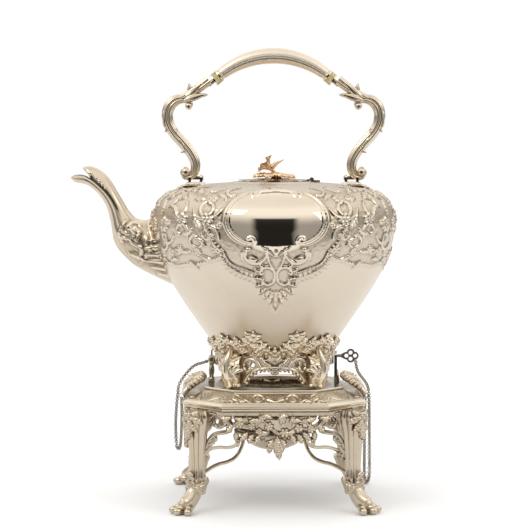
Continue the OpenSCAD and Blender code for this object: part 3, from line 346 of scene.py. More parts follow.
class Relief:
    """A sheet of metal: `h` is its height and `edge` how far inside the ornament each point is."""

    FAR = -3.0

    def __init__(self, low, high, step):
        self.step = step
        self.u = np.arange(low[0], high[0] + step / 2, step)
        self.v = np.arange(low[1], high[1] + step / 2, step)
        self.h = np.zeros((len(self.v), len(self.u)))
        self.edge = np.full(self.h.shape, self.FAR)

    def window(self, low, high):
        """The grid's points between two corners, with some to spare."""
        spare = 4 * self.step
        c0, c1 = np.searchsorted(self.u, [low[0] - spare, high[0] + spare])
        r0, r1 = np.searchsorted(self.v, [low[1] - spare, high[1] + spare])
        rows, cols = slice(r0, r1), slice(c0, c1)
        u, v = np.meshgrid(self.u[cols], self.v[rows])
        return rows, cols, u, v

    def stamp(self, rows, cols, height, inside):
        if height.size == 0:
            return
        old = self.h[rows, cols]
        self.h[rows, cols] = np.where(inside > 0, np.maximum(old, height), old)
        self.edge[rows, cols] = np.maximum(self.edge[rows, cols], np.maximum(inside, self.FAR))

    def stroke(self, line, half, height, groove=0.0, base=0.0):
        """A rounded band along a line. `half` is its half width, or one at each end."""
        line = np.array(line, float)
        places = np.linspace(0, 1, np.size(half))
        widths = np.interp(np.linspace(0, 1, len(line)), places, np.atleast_1d(half))
        most = widths.max()
        rows, cols, u, v = self.window(line.min(0) - most, line.max(0) + most)
        best = np.full(u.shape, self.FAR)
        rise = np.zeros(u.shape)
        for a, b, wa, wb in zip(line[:-1], line[1:], widths[:-1], widths[1:]):
            gap, t = gap_to(u, v, a, b)
            w = wa + (wb - wa) * t
            share = np.clip(gap / w, 0, 1)
            crown = rounded(share**2) * (1 - groove * np.exp(-((share / 0.38) ** 2)))
            rise = np.maximum(rise, height * crown * np.sqrt(w / most))
            best = np.maximum(best, w - gap)
        self.stamp(rows, cols, base + rise, best)

    def scroll(self, start, heading, radius, turn, half, height, coil=0.3, groove=0.35, base=0.0):
        """A band that curls in on itself and ends in a bead."""
        line = arc(start, heading, radius, turn, max(8, int(abs(turn) / 14)), coil)
        self.stroke(line, [half * 0.55, half, half, half * 0.7], height, groove, base)
        self.bead(line[-1], half * 1.25, height * 1.1, base)
        return line

    def bead(self, at, radius, height, base=0.0):
        """A round boss."""
        rows, cols, u, v = self.window(np.array(at) - radius, np.array(at) + radius)
        gap = np.hypot(u - at[0], v - at[1])
        self.stamp(rows, cols, base + height * rounded((gap / radius) ** 2), radius - gap)

    def drop(self, at, heading, length, width, height, base=0.0, crease=0.0):
        """An oval boss, half as long again on one side."""
        c, s = heading_of(heading)
        reach = max(length, width)
        rows, cols, u, v = self.window(np.array(at) - reach, np.array(at) + reach)
        x = (u - at[0]) * c + (v - at[1]) * s
        y = -(u - at[0]) * s + (v - at[1]) * c
        far = np.hypot(x / (length / 2), y / (width / 2))
        dome = rounded(far**2) * (1 - crease * np.exp(-((y / (0.16 * width)) ** 2)))
        self.stamp(rows, cols, base + height * dome, (1 - far) * min(length, width) / 2)

    def leaf(self, start, heading, length, width, height, bend=0.0, lobes=4, base=0.0):
        """A lobed leaf with a raised midrib and sunk veins, which may bend along its length."""
        if bend:
            line = np.array(arc(start, heading, length / math.radians(abs(bend)), bend, 10))
        else:
            c, s = heading_of(heading)
            line = np.array(start) + np.outer(np.linspace(0, length, 5), [c, s])
        rows, cols, u, v = self.window(line.min(0) - width, line.max(0) + width)
        best = np.full(u.shape, 99.0)
        along = np.zeros(u.shape)
        side = np.zeros(u.shape)
        count = len(line) - 1
        for i, (a, b) in enumerate(zip(line[:-1], line[1:])):
            d = (b - a) / np.linalg.norm(b - a)
            reach = np.linalg.norm(b - a)
            x = (u - a[0]) * d[0] + (v - a[1]) * d[1]
            y = -(u - a[0]) * d[1] + (v - a[1]) * d[0]
            t = np.clip(x, 0, reach)
            gap = np.hypot(x - t, y)
            near = gap < best
            best = np.where(near, gap, best)
            along = np.where(near, (i + t / reach) / count, along)
            side = np.where(near, y, side)
        form = np.sin(np.pi * np.clip(along, 0.02, 0.995) ** 0.75) ** 0.6
        lobe = np.abs(np.sin(np.pi * (lobes * along + 0.25)))
        half = width / 2 * form * (0.70 + 0.30 * lobe) + 0.15
        share = np.clip(best / half, 0, 1)
        vein = np.abs(np.sin(np.pi * (lobes * along - 0.55 * share + 0.25)))
        dome = (1 - 0.45 * share**2) * (0.55 + 0.45 * vein**0.7)
        rib = 0.30 * np.exp(-((side / (0.09 * width)) ** 2))
        fall = rounded(share**4)
        self.stamp(rows, cols, base + height * (dome + rib) * fall, half - best)

    def flower(self, at, radius, height, petals=5, turn=0.0, base=0.0):
        """An open flower with cupped petals round a bead."""
        rows, cols, u, v = self.window(np.array(at) - radius, np.array(at) + radius)
        far = np.hypot(u - at[0], v - at[1])
        angle = np.arctan2(v - at[1], u - at[0]) - math.radians(turn)
        petal = np.abs(np.cos(angle * petals / 2))
        reach = radius * (0.62 + 0.38 * petal**0.5)
        share = np.clip(far / reach, 0, 1)
        cup = (0.35 + 0.65 * np.sin(np.pi * share * 0.8) ** 1.2) * (0.35 + 0.65 * petal**0.6)
        fall = rounded(share**6)
        self.stamp(rows, cols, base + height * cup * fall, reach - far)
        self.bead(at, radius * 0.26, height * 1.05, base)

    def shell(self, at, heading, radius, spread, height, ribs=7, base=0.0):
        """A fan of rounded ribs with a scalloped edge."""
        rows, cols, u, v = self.window(np.array(at) - radius, np.array(at) + radius)
        far = np.hypot(u - at[0], v - at[1])
        angle = np.degrees(np.arctan2(v - at[1], u - at[0])) - heading
        angle = (angle + 180) % 360 - 180
        rib = np.abs(np.cos(np.pi * angle / spread * ribs))
        reach = radius * (0.84 + 0.16 * rib**0.7)
        side = np.radians(spread / 2 - np.abs(angle)) * np.maximum(far, 0.2)
        inside = np.minimum(reach - far, side)
        share = np.clip(far / reach, 0, 1)
        dome = (0.35 + 0.65 * rib**0.8) * (0.4 + 0.6 * np.sin(np.pi * (0.15 + 0.75 * share)))
        self.stamp(rows, cols, base + height * dome, inside)

    def lobes(self, line, length, width, height, lean=90.0, base=0.0, crease=0.0):
        """A row of small rounded lobes along a line, each leaning to one side of it."""
        line = np.array(line, float)
        run = run_of(line)
        count = max(2, int(run[-1] / (width * 0.9)))
        for t in np.linspace(0, run[-1], count):
            i = min(np.searchsorted(run, t, side="right") - 1, len(line) - 2)
            f = (t - run[i]) / (run[i + 1] - run[i])
            at = line[i] + f * (line[i + 1] - line[i])
            d = line[i + 1] - line[i]
            heading = math.degrees(math.atan2(d[1], d[0])) + lean
            self.drop(at, heading, length, width, height, base, crease)

    def pierce(self, at, radius):
        """A round hole through the sheet."""
        rows, cols, u, v = self.window(np.array(at) - 2 * radius, np.array(at) + 2 * radius)
        gap = np.hypot(u - at[0], v - at[1]) - radius
        self.edge[rows, cols] = np.minimum(self.edge[rows, cols], gap)

    def fill(self, outline, height, soft=1.0):
        """A flat field inside a closed outline, rounded off towards its edge."""
        line = np.array([*outline, outline[0]], float)
        rows, cols, u, v = self.window(line.min(0), line.max(0))
        gap = np.full(u.shape, 99.0)
        odd = np.zeros(u.shape, bool)
        for a, b in zip(line[:-1], line[1:]):
            gap = np.minimum(gap, gap_to(u, v, a, b)[0])
            if a[1] != b[1]:
                crosses = (a[1] > v) != (b[1] > v)
                odd ^= crosses & (u < (b[0] - a[0]) * (v - a[1]) / (b[1] - a[1]) + a[0])
        inside = np.where(odd, gap, -gap)
        self.stamp(rows, cols, height * np.sqrt(np.clip(inside / soft, 0, 1)), inside)

    def mirrored(self):
        """The sheet joined to its mirror image across its first column."""
        whole = Relief((0, 0), (1, 1), 1)
        whole.step = self.step
        first = self.u[0]
        whole.u = np.concatenate([2 * first - self.u[:0:-1], self.u])
        whole.v = self.v
        whole.h = np.hstack([self.h[:, :0:-1], self.h])
        whole.edge = np.hstack([self.edge[:, :0:-1], self.edge])
        return whole


def blurred(field, count, wrap=False):
    """The field averaged with its neighbours, `count` times."""
    mode = "wrap" if wrap else "edge"
    for _ in range(count):
        wide = np.pad(field, ((0, 0), (1, 1)), mode=mode)
        field = (wide[:, :-2] + 2 * field + wide[:, 2:]) / 4
        tall = np.pad(field, ((1, 1), (0, 0)), mode="edge")
        field = (tall[:-2] + 2 * field + tall[2:]) / 4
    return field


def hollows(height, reach, depth, wrap=False):
    """How far each point lies below its surroundings: 0 on ridges, 1 in the deepest lines."""
    return np.clip((blurred(height, reach, wrap) - height) / depth + 0.15, 0, 1)


print("stamps are ready")


# %% [markdown]
# ## Meshes
# Points arrive as rows of millimetres about the kettle's centre line.

# %% Meshes from points
def grid_faces(rows, cols, wrap=False, keep=None, flip=False):
    """Quads over a grid of rows x cols points."""
    r = np.arange(rows - 1)[:, None]
    c = np.arange(cols if wrap else cols - 1)[None, :]
    d = (c + 1) % cols
    quads = np.stack([r * cols + c, r * cols + d, (r + 1) * cols + d, (r + 1) * cols + c], -1)
    if flip:
        quads = quads[..., ::-1]
    if keep is not None:
        quads = quads[keep]
    return quads.reshape(-1, 4)


class Build:
    """Several grids and sweeps gathered into one piece."""

    def __init__(self):
        self.points = []
        self.faces = []
        self.hollow = []
        self.matt_and_shade = []
        self.count = 0

    def add(self, points, faces, hollow=0.0, matt_and_shade=0.0):
        """Takes in points with their faces; the two marks are one number or one for each point."""
        points = np.array(points, float).reshape(-1, 3)
        self.points.append(points)
        if isinstance(faces, np.ndarray):
            self.faces.extend((faces + self.count).tolist())
        else:
            self.faces.extend([i + self.count for i in face] for face in faces)
        self.hollow.append(np.broadcast_to(np.ravel(hollow), len(points)))
        self.matt_and_shade.append(np.broadcast_to(np.ravel(matt_and_shade), len(points)))
        self.count += len(points)

    def join(self, other):
        """Takes in the whole of another build."""
        marks = np.concatenate(other.hollow), np.concatenate(other.matt_and_shade)
        self.add(np.vstack(other.points), other.faces, *marks)

    def turned(self, degrees):
        """A copy, turned about the upright centre line."""
        c, s = heading_of(degrees)
        copy = Build()
        copy.join(self)
        copy.points[0] = copy.points[0] @ np.array([[c, s, 0], [-s, c, 0], [0, 0, 1]])
        return copy

    def inside_out(self):
        """Turns the faces round, which a mirrored form needs."""
        self.faces = [face[::-1] for face in self.faces]

    def piece(self, name, look, body, slot="silver", stands_for=()):
        """Makes the mesh and says what it is made of, which body it rides on and what it replaces."""
        mesh = bpy.data.meshes.new(name)
        points = (np.vstack(self.points) + [MIDDLE_X, 0, 0]) * MM
        sizes = np.array([len(face) for face in self.faces])
        corners_of = np.array([i for face in self.faces for i in face], np.int32)
        starts = np.concatenate([[0], np.cumsum(sizes)[:-1]])
        mesh.vertices.add(len(points))
        mesh.vertices.foreach_set("co", points.ravel())
        mesh.loops.add(len(corners_of))
        mesh.loops.foreach_set("vertex_index", corners_of)
        mesh.polygons.add(len(sizes))
        mesh.polygons.foreach_set("loop_start", starts.astype(np.int32))
        mesh.polygons.foreach_set("use_smooth", np.full(len(sizes), True))
        mesh.update(calc_edges=True)
        for mark, values in (("hollow", self.hollow), ("matt_and_shade", self.matt_and_shade)):
            data = mesh.attributes.new(mark, "FLOAT", "POINT").data
            data.foreach_set("value", np.concatenate(values).astype(np.float32))
        thing = bpy.data.objects.new(name, mesh)
        bpy.context.scene.collection.objects.link(thing)
        thing.data.materials.append(MATERIALS[look])
        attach(thing, body)
        if stands_for:
            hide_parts(*stands_for)
        return thing


def casting(build, relief, place, thick=1.6, back=0.6, depth=1.0, matt_and_shade=0.1):
    """A cast or pierced plate: the relief in front, a rounded back, cut to the ornament's outline."""
    inside = relief.edge > 0
    cell = inside[:-1, :-1] | inside[1:, :-1] | inside[:-1, 1:] | inside[1:, 1:]
    u, v = np.meshgrid(relief.u, relief.v)
    slope_v, slope_u = np.gradient(np.maximum(relief.edge, relief.FAR), relief.step)
    steep = slope_u**2 + slope_v**2 + 1e-3
    shift = np.where(inside, 0, np.clip(-relief.edge / steep, 0, 1.2 * relief.step))
    u = u + shift * slope_u
    v = v + shift * slope_v
    lift = thick * np.sqrt(np.clip(relief.edge / (0.8 * thick), 0, 1))
    front = np.where(inside, lift + relief.h * np.clip(relief.edge / 0.6, 0, 1), 0)
    behind = np.where(inside, -back * lift, 0)
    dark = hollows(np.where(inside, front, 0), 5, depth)
    used = np.zeros(inside.shape, bool)
    used[:-1, :-1] |= cell
    used[1:, :-1] |= cell
    used[:-1, 1:] |= cell
    used[1:, 1:] |= cell
    number = np.full(inside.size, -1)
    number[used.ravel()] = np.arange(used.sum())
    for side, flip in ((front, False), (behind, True)):
        faces = number[grid_faces(*inside.shape, keep=cell, flip=flip)]
        points = np.stack(place(u[used], v[used], side[used]), -1)
        build.add(points, faces, dark[used], matt_and_shade)


def sweep(build, line, ring, up=(0, 1, 0), closed=False, caps=True, hollow=0.0, matt_and_shade=0.0):
    """A tube along a 3-D line. ring(i) gives the cross-section as rows of (sideways, upwards)."""
    line = np.array(line, float)
    count = len(line)
    after = np.roll(line, -1, 0) if closed else np.vstack([line[1:], 2 * line[-1] - line[-2]])
    before = np.roll(line, 1, 0) if closed else np.vstack([2 * line[0] - line[1], line[:-1]])
    heading = after - before
    heading /= np.linalg.norm(heading, axis=1)[:, None]
    side = np.cross(heading, np.array(up, float))
    side /= np.linalg.norm(side, axis=1)[:, None] + 1e-9
    top = np.cross(side, heading)
    rings = [np.asarray(ring(i), float) for i in range(count)]
    points = np.array([
        line[i] + np.outer(rings[i][:, 0], side[i]) + np.outer(rings[i][:, 1], top[i]) for i in range(count)
    ])
    around = points.shape[1]
    faces = grid_faces(count, around, wrap=True)
    if closed:
        c = np.arange(around)
        d = (c + 1) % around
        last = (count - 1) * around
        faces = np.vstack([faces, np.stack([last + c, last + d, d, c], -1)])
    build.add(points, faces, hollow, matt_and_shade)
    if caps and not closed:
        for end in (0, count - 1):
            ids = list(range(around)) if end else list(range(around))[::-1]
            build.add(points[end], [ids], 0.0, matt_and_shade)
    return points


def oval(half_a, half_b, sides):
    """A cross-section as rows of (sideways, upwards)."""
    a = round_turn(sides)
    return np.stack([half_a * np.cos(a), half_b * np.sin(a)], -1)


def ball(build, at, sizes, turn=0.0, lowest=0.05, rows=15, cols=24, hollow=0.0, matt_and_shade=0.2):
    """An oval boss, cut off level at its lowest height."""
    lat = np.linspace(-np.pi / 2, np.pi / 2, rows)
    lon = round_turn(cols)
    x = sizes[0] * np.outer(np.cos(lat), np.cos(lon))
    y = sizes[1] * np.outer(np.cos(lat), np.sin(lon))
    z = sizes[2] * np.repeat(np.sin(lat)[:, None], cols, 1)
    c, s = heading_of(turn)
    p = np.stack([x, y, z], -1) @ np.array([[c, s, 0], [-s, c, 0], [0, 0, 1]]) + np.array(at)
    p[..., 2] = np.maximum(p[..., 2], lowest)
    build.add(p, grid_faces(rows, cols, wrap=True), hollow, matt_and_shade)


def value_at(values, i, count):
    """The value at step i of `count`, from a few that share out the whole length."""
    return float(np.interp(i / (count - 1), np.linspace(0, 1, len(values)), values))


def lathe(build, profile, sides=96, matt_and_shade=0.0):
    """A turned form about the centre line, from rows of (radius, height)."""
    p = np.array(profile, float)
    a = round_turn(sides)
    tall = np.repeat(p[:, 1][:, None], sides, 1)
    points = np.stack([np.outer(p[:, 0], np.cos(a)), np.outer(p[:, 0], np.sin(a)), tall], -1)
    build.add(points, grid_faces(len(p), sides, wrap=True), 0.0, matt_and_shade)


print("mesh makers are ready")

# %% [markdown]
# ## The camera
# It stands a little above the table, about 1.9 m away, and looks slightly down.

# %% Camera
CAMERA_AWAY = 1900.0
CAMERA_HIGH = 333.0
CAMERA_SIDE = -1.0
LENS = 145.4
PITCH = 3.78
AIM_X = -8.0

camera_data = bpy.data.cameras.new("camera")
camera_data.lens = LENS
camera_data.sensor_width = 36.0
camera_data.sensor_fit = "AUTO"
camera = bpy.data.objects.new("camera", camera_data)
bpy.context.scene.collection.objects.link(camera)
bpy.context.scene.camera = camera
swing = math.radians(CAMERA_SIDE)
camera.location = Vector((
    (MIDDLE_X + AIM_X + CAMERA_AWAY * math.sin(swing)) * MM,
    -CAMERA_AWAY * math.cos(swing) * MM,
    CAMERA_HIGH * MM,
))
camera.rotation_euler = (math.radians(90 - PITCH), 0, swing)
print("camera at", [round(c, 3) for c in camera.location])

# %% [markdown]
# ## Floor and studio light
# The sky is a large even tent. What the metal mirrors is shaped like a studio: white above, softer at the
# sides, and a dark stand card in front, which the polished oval shows as its dark middle.

# %% Floor
FLOOR = 30.0
TABLE_EDGE = -0.5
SUNK = -0.0002
floor_mesh = bpy.data.meshes.new("floor")
floor_corners = [(-FLOOR, TABLE_EDGE), (FLOOR, TABLE_EDGE), (FLOOR, FLOOR), (-FLOOR, FLOOR)]
floor_mesh.from_pydata([(x, y, SUNK) for x, y in floor_corners], [], [(0, 1, 2, 3)])
floor = bpy.data.objects.new("floor", floor_mesh)
bpy.context.scene.collection.objects.link(floor)
floor_material = bpy.data.materials.new("floor")
floor_material.use_nodes = True
s = Shader(floor_material.node_tree)
floor_where = s.node("ShaderNodeTexCoord").outputs["Object"]
floor_cloud = s.noise(floor_where, 2.0)
floor_shader = s.node(
    "ShaderNodeBsdfPrincipled",
    Base_Color=s.mix(floor_cloud, (0.90, 0.90, 0.90), (0.91, 0.91, 0.91)),
    Roughness=1.0,
)
floor_shader.inputs["Specular IOR Level"].default_value = 0.0
s.node("ShaderNodeOutputMaterial", Surface=floor_shader.outputs["BSDF"])
floor_mesh.materials.append(floor_material)
print("the floor reaches", FLOOR, "m back and its front edge is at y =", TABLE_EDGE, "m")

# %% [markdown]
# The camera sees plain white, and matt surfaces get an even light. Only mirror-like surfaces see the tent,
# its darker flanks and the card.

# %% Sky
CARD_HALF, CARD_TOP = (0.27, 0.40), (0.30, 0.40)
TENT_LOW, TENT_RISE, TENT_TOP_LOSS, FLANK_LOSS = 0.46, 0.88, 0.2, 0.18
EVEN_LIGHT = 1.24
world = bpy.data.worlds.new("studio")
world.use_nodes = True
bpy.context.scene.world = world
w = Shader(world.node_tree)
split = w.node("ShaderNodeSeparateXYZ", Vector=w.node("ShaderNodeTexCoord").outputs["Generated"])
across, toward, height = (w.value(split.outputs[k]) for k in "XYZ")
front = (-toward).step(0.2, 0.5)
card = (
    front
    * (1.0 - across.maths("ABSOLUTE").step(*CARD_HALF))
    * (1.0 - height.step(*CARD_TOP))
)
tent = TENT_LOW + height.step(0.0, 0.62) * TENT_RISE - height.step(0.75, 1.0) * TENT_TOP_LOSS
flanks = across.maths("ABSOLUTE").step(0.80, 0.98) * FLANK_LOSS
mirrored = ((tent - flanks) * (1.0 - card * 0.95)).at_least(0.0)
studio = w.node("ShaderNodeVectorMath", {"operation": "SCALE"})
studio.inputs[0].default_value = (1.0, 0.975, 0.935)
w.tree.links.new(mirrored.socket, studio.inputs["Scale"])
path = w.node("ShaderNodeLightPath")
seen = w.mix(w.value(path.outputs["Is Diffuse Ray"]), studio.outputs[0], (EVEN_LIGHT,) * 3)
seen = w.mix(w.value(path.outputs["Is Camera Ray"]), seen, (1.0, 1.0, 1.0))
sky = w.node("ShaderNodeBackground", Color=seen, Strength=1.0)
w.node("ShaderNodeOutputWorld", Surface=sky.outputs[0])


WARM = (1.0, 0.97, 0.93)
LIT_SPOT = (0, 0, 0.2)


def soft_light(name, at, size, power):
    """A rectangular lamp that is turned to the kettle; places and sizes are metres."""
    data = bpy.data.lights.new(name, "AREA")
    data.shape = "RECTANGLE"
    data.size, data.size_y = size
    data.energy = power
    data.color = WARM
    light = bpy.data.objects.new(name, data)
    bpy.context.scene.collection.objects.link(light)
    light.location = at
    light.rotation_euler = (Vector(LIT_SPOT) - Vector(at)).to_track_quat("-Z", "Y").to_euler()


soft_light("key", (-1.1, -1.2, 1.6), (0.7, 0.5), 5)
soft_light("fill", (1.3, -0.9, 1.0), (0.5, 0.7), 2)
print("two soft lamps and the tent are in place")

# %% [markdown]
# ## The kettle's body
# The body is an inverted pear. Its profile repeats the one of the solid. The chased band is drawn on a
# quarter of the body, from the middle of the front to the side, and mirrored round.

# %% Profile
def bezier(a, b, c, d, count):
    """A curve from a to d, drawn towards b and c."""
    t = np.linspace(0, 1, count)[:, None]
    a, b, c, d = (np.array(p, float) for p in (a, b, c, d))
    return a * (1 - t) ** 3 + 3 * b * t * (1 - t) ** 2 + 3 * c * t**2 * (1 - t) + d * t**3


BODY_R, BELLY_Z, BOTTOM_Z, COLLAR_R, COLLAR_H = 108.0, 246.0, 128.0, 49.0, 4.0
SHOULDER_R, SHOULDER_Z, DOME_Z, MOUTH_R = 86.0, 276.5, 282.5, 29.5
WALL = 1.5
low_z = BOTTOM_Z + COLLAR_H
belly = bezier(
    (COLLAR_R, low_z),
    (COLLAR_R + 0.66 * (BODY_R - COLLAR_R), BOTTOM_Z + 0.51 * (BELLY_Z - BOTTOM_Z)),
    (BODY_R, BELLY_Z - 0.27 * (BELLY_Z - BOTTOM_Z)), (BODY_R, BELLY_Z), 90,
)
rise = SHOULDER_Z - BELLY_Z
shoulder = bezier(
    (BODY_R, BELLY_Z), (BODY_R, BELLY_Z + 0.54 * rise),
    (SHOULDER_R + 0.64 * (BODY_R - SHOULDER_R), BELLY_Z + 0.8 * rise), (SHOULDER_R, SHOULDER_Z), 50,
)
dome = bezier(
    (SHOULDER_R, SHOULDER_Z), (SHOULDER_R - 16, SHOULDER_Z + 0.6 * (DOME_Z - SHOULDER_Z)),
    (MOUTH_R + 16, DOME_Z), (MOUTH_R, DOME_Z), 40,
)
outline = np.vstack([[(COLLAR_R, BOTTOM_Z)], belly, shoulder[1:], dome[1:]])[::-1]
run = run_of(outline)
BODY_STEP = 0.7
AROUND = 105.0
body_v = np.arange(0, run[-1], BODY_STEP)
body_r = np.interp(body_v, run, outline[:, 0])
body_z = np.interp(body_v, run, outline[:, 1])
slope_r, slope_z = np.gradient(body_r), np.gradient(body_z)
reach = np.hypot(slope_r, slope_z)
out_r, out_z = -slope_z / reach, slope_r / reach
print("the profile is", round(run[-1]), "mm long")


def depth_at(z):
    """Distance along the profile, from the mouth, of a height on the body."""
    return float(np.interp(-z, -outline[:, 1], run))


def spot(u, z):
    """The sheet's point at a distance round the body and a height."""
    return (u, -depth_at(z))


def spots(pairs, count=None):
    """A smooth line on the sheet through several spots."""
    line = [spot(u, z) for u, z in pairs]
    return smooth_line(line, count or 8 * len(line))


# %% [markdown]
# The chasing lies in a ground that is beaten back a little, so that it doesn't stand out past the plain
# metal. A polished oval stays free in the middle of the front and the back.

# %% Chasing on the body
quarter = AROUND * math.pi / 2
sheet = Relief((0, -run[-1]), (quarter, 0), BODY_STEP)
# Lower edge of the chased ground, from the front's pendant to the side
GROUND_EDGE = [
    (0, 171), (4, 177), (8, 185), (14, 190), (18, 197), (23, 203), (32, 206), (42, 212), (49, 222),
    (56, 219), (64, 216), (76, 213), (90, 212), (105, 210), (120, 212), (135, 209), (150, 206), (165, 203),
]
CARTOUCHE = [
    (0, 279.3), (12, 278.8), (19, 276.5), (31, 274.4), (39.5, 268.5), (43.6, 259.5), (44.2, 251),
    (41, 242.5), (35, 236), (27, 232), (20.5, 231.5), (16.5, 229), (7, 225.5), (0, 221.5),
]
u_grid, v_grid = np.meshgrid(sheet.u, sheet.v)
edge_u, edge_z = np.array(GROUND_EDGE, float).T
edge_v = np.array([-depth_at(z) for z in edge_z])
ground_top = -depth_at(282.4)
above_edge = v_grid - np.interp(u_grid, edge_u, edge_v)
ground = np.clip(above_edge / 3.0, 0, 1) * np.clip((ground_top - v_grid) / 3.0, 0, 1)

field = Relief((0, -run[-1]), (quarter, 0), BODY_STEP)
plain = [spot(u, z) for u, z in CARTOUCHE]
closed = [(-u, v) for u, v in plain[:0:-1]] + plain
field.fill(closed, 1.0, 2.0)
plain_inside = field.edge
chased = ground * np.clip(-plain_inside / 1.5, 0, 1)
print("the chased ground covers", int(ground.sum()), "points of a quarter")

# %% [markdown]
# The oval's frame is a bold outer roll and a fine inner line. Scrolls and a pendant of leaves hang
# under it.

# %% Frame of the oval
rim_line = spots(CARTOUCHE[2:11], 60)
sheet.stroke(rim_line, [1.3, 2.0, 2.1, 2.0, 1.2], 1.5)
oval_middle = np.array([0.0, -depth_at(253)])
inner_line = oval_middle + (rim_line - oval_middle) * [0.90, 0.86]
sheet.stroke(inner_line, [0.5, 0.9, 0.9, 0.9, 0.4], 0.75)
sheet.scroll(spot(20, 276.2), 200, 5.5, 300, 1.7, 1.9, 0.45)
sheet.bead(spot(19.5, 273.6), 2.4, 2.2)
sheet.scroll(spot(21, 231.6), 165, 4.5, -230, 1.3, 1.4, 0.4)
# The fleur and the pair of scrolls under the oval
sheet.leaf(spot(0, 221.5), 90, 6.5, 3.2, 1.2, lobes=2)
sheet.leaf(spot(2, 222.5), 25, 6.0, 3.0, 1.1, bend=60, lobes=2)
sheet.stroke(spots([(3, 212), (6.5, 219), (8, 226), (11, 229.5)], 16), [1.2, 0.8], 1.4)
sheet.scroll(spot(8, 228.5), -98, 12.5, 250, 1.9, 1.9, 0.35)
sheet.drop(spot(20.5, 219.5), 12, 8.5, 5.0, 2.0)
sheet.drop(spot(20.5, 219.5), 12, 11.5, 7.5, 0.9)
sheet.scroll(spot(26, 216), 35, 9, 150, 1.3, 1.3, 0.35)
# The pendant: two scrolls back to back over a fan of leaves
sheet.scroll(spot(0.9, 205), 96, 9.0, -210, 1.7, 1.8, 0.35)
sheet.scroll(spot(0.9, 205), -96, 8.5, 205, 1.7, 1.8, 0.35)
sheet.bead(spot(0, 205), 1.7, 1.6)
sheet.bead(spot(8.5, 194.5), 1.5, 1.6)
for u, z, turn, length, wide in (
    (0, 192, -90, 20.0, 5.2), (2.5, 192, -72, 14.0, 5.0), (5, 193, -52, 12.0, 5.0),
    (8, 195, -34, 11.5, 5.2), (10.5, 198.5, -14, 10.5, 5.2), (12, 203, 4, 9.5, 5.2),
    (11.5, 208, 22, 9.5, 5.0), (9.5, 211.5, 42, 9.0, 4.6),
):
    sheet.leaf(spot(u, z), turn, length, wide, 1.35, lobes=3)
# The lobed edge that climbs from the pendant to the band
climb = spots([(20, 202.5), (28, 205.5), (36, 208), (43, 213), (48, 221)], 40)
sheet.lobes(climb, 9.5, 4.3, 1.15, 95, 0, 0.5)
sheet.stroke(spots([(19, 208), (28, 211), (36, 213.5), (42, 218), (45.5, 226)], 40), 1.0, 1.2)
print("the highest point of the frame stands", round(float(sheet.h.max()), 1), "mm proud")

# %% [markdown]
# Beside the oval the band is filled with scrolls, flowers, leaves and shells, up to the shoulder.

# %% Field beside the oval
for u, z, heading, radius, turn, half, raised in (
    (47, 262, -70, 14.0, 255, 1.9, 1.8), (77, 262, -105, 13.5, -250, 1.7, 1.6),
    (49, 236, 100, 10.5, -265, 1.7, 1.5), (66, 232, -60, 8.0, 300, 1.5, 1.5),
    (82, 236, 120, 9.5, -280, 1.6, 1.6), (90, 268, -140, 11.0, 240, 1.8, 1.6),
    (100, 238, -70, 12.0, 270, 1.8, 1.7), (112, 262, 150, 13.0, -250, 1.8, 1.7),
    (128, 230, -120, 11.0, -265, 1.7, 1.6), (138, 262, 20, 12.0, 250, 1.8, 1.7),
    (150, 238, 110, 11.0, -270, 1.7, 1.7), (44, 279, -30, 16.0, -170, 1.6, 1.7),
    (70, 279.3, 195, 12.0, 190, 1.6, 1.6), (96, 279.5, -20, 13.0, -180, 1.6, 1.6),
    (120, 279.5, 200, 12.0, 190, 1.6, 1.7), (146, 279.6, -20, 13.0, -180, 1.6, 1.7),
):
    sheet.scroll(spot(u, z), heading, radius, turn, half, raised, 0.32)
for u, z, radius, petals, turn, raised in (
    (60, 253.5, 6.8, 6, 0, 2.0), (53, 228, 5.0, 5, 20, 1.6), (72, 225, 4.6, 5, 50, 1.6),
    (88, 252, 7.0, 5, 10, 2.1), (93, 226, 4.4, 6, 0, 1.6), (108, 224, 4.8, 5, 30, 1.7),
    (114, 247, 7.2, 6, 25, 2.2), (137, 246, 6.6, 5, 0, 2.1), (160, 252, 7.5, 6, 0, 2.2),
    (124, 222, 4.6, 5, 10, 1.6), (142, 219, 4.8, 6, 0, 1.6), (60, 270, 5.0, 5, 15, 1.8),
    (104, 272, 5.2, 5, 40, 1.9), (131, 273, 5.2, 6, 0, 1.9), (157, 272, 5.0, 5, 20, 1.9),
):
    sheet.flower(spot(u, z), radius, raised, petals, turn)
for u, z, heading, length, wide, bend, raised in (
    (46, 226, 20, 16, 6, 60, 1.3), (58, 240, 75, 13, 6, -40, 1.3), (52, 244, 120, 11, 5, 40, 1.2),
    (66, 246, 30, 15, 6, 50, 1.4), (76, 244, -40, 13, 5.5, 40, 1.3), (80, 224, 15, 13, 5, -40, 1.2),
    (96, 256, 60, 16, 6.5, -60, 1.4), (104, 250, -30, 14, 6, 60, 1.4), (122, 256, 100, 15, 6, -50, 1.4),
    (127, 240, -60, 15, 6, 60, 1.4), (146, 254, 80, 15, 6.5, 50, 1.4), (60, 219, 0, 12, 5, 40, 1.2),
    (100, 217, 10, 14, 5.5, -40, 1.2), (132, 216, 170, 13, 5.5, 40, 1.2), (152, 222, -60, 15, 6, -50, 1.3),
    (47, 270, 60, 13, 5.5, -60, 1.4), (82, 275, 20, 14, 5.5, 50, 1.4), (110, 276, 160, 13, 5, -40, 1.4),
    (84, 216, 200, 12, 5, 30, 1.1), (117, 214, -20, 12, 5, 30, 1.1), (70, 236, 200, 10, 4.5, 40, 1.2),
):
    sheet.leaf(spot(u, z), heading, length, wide, raised, bend)
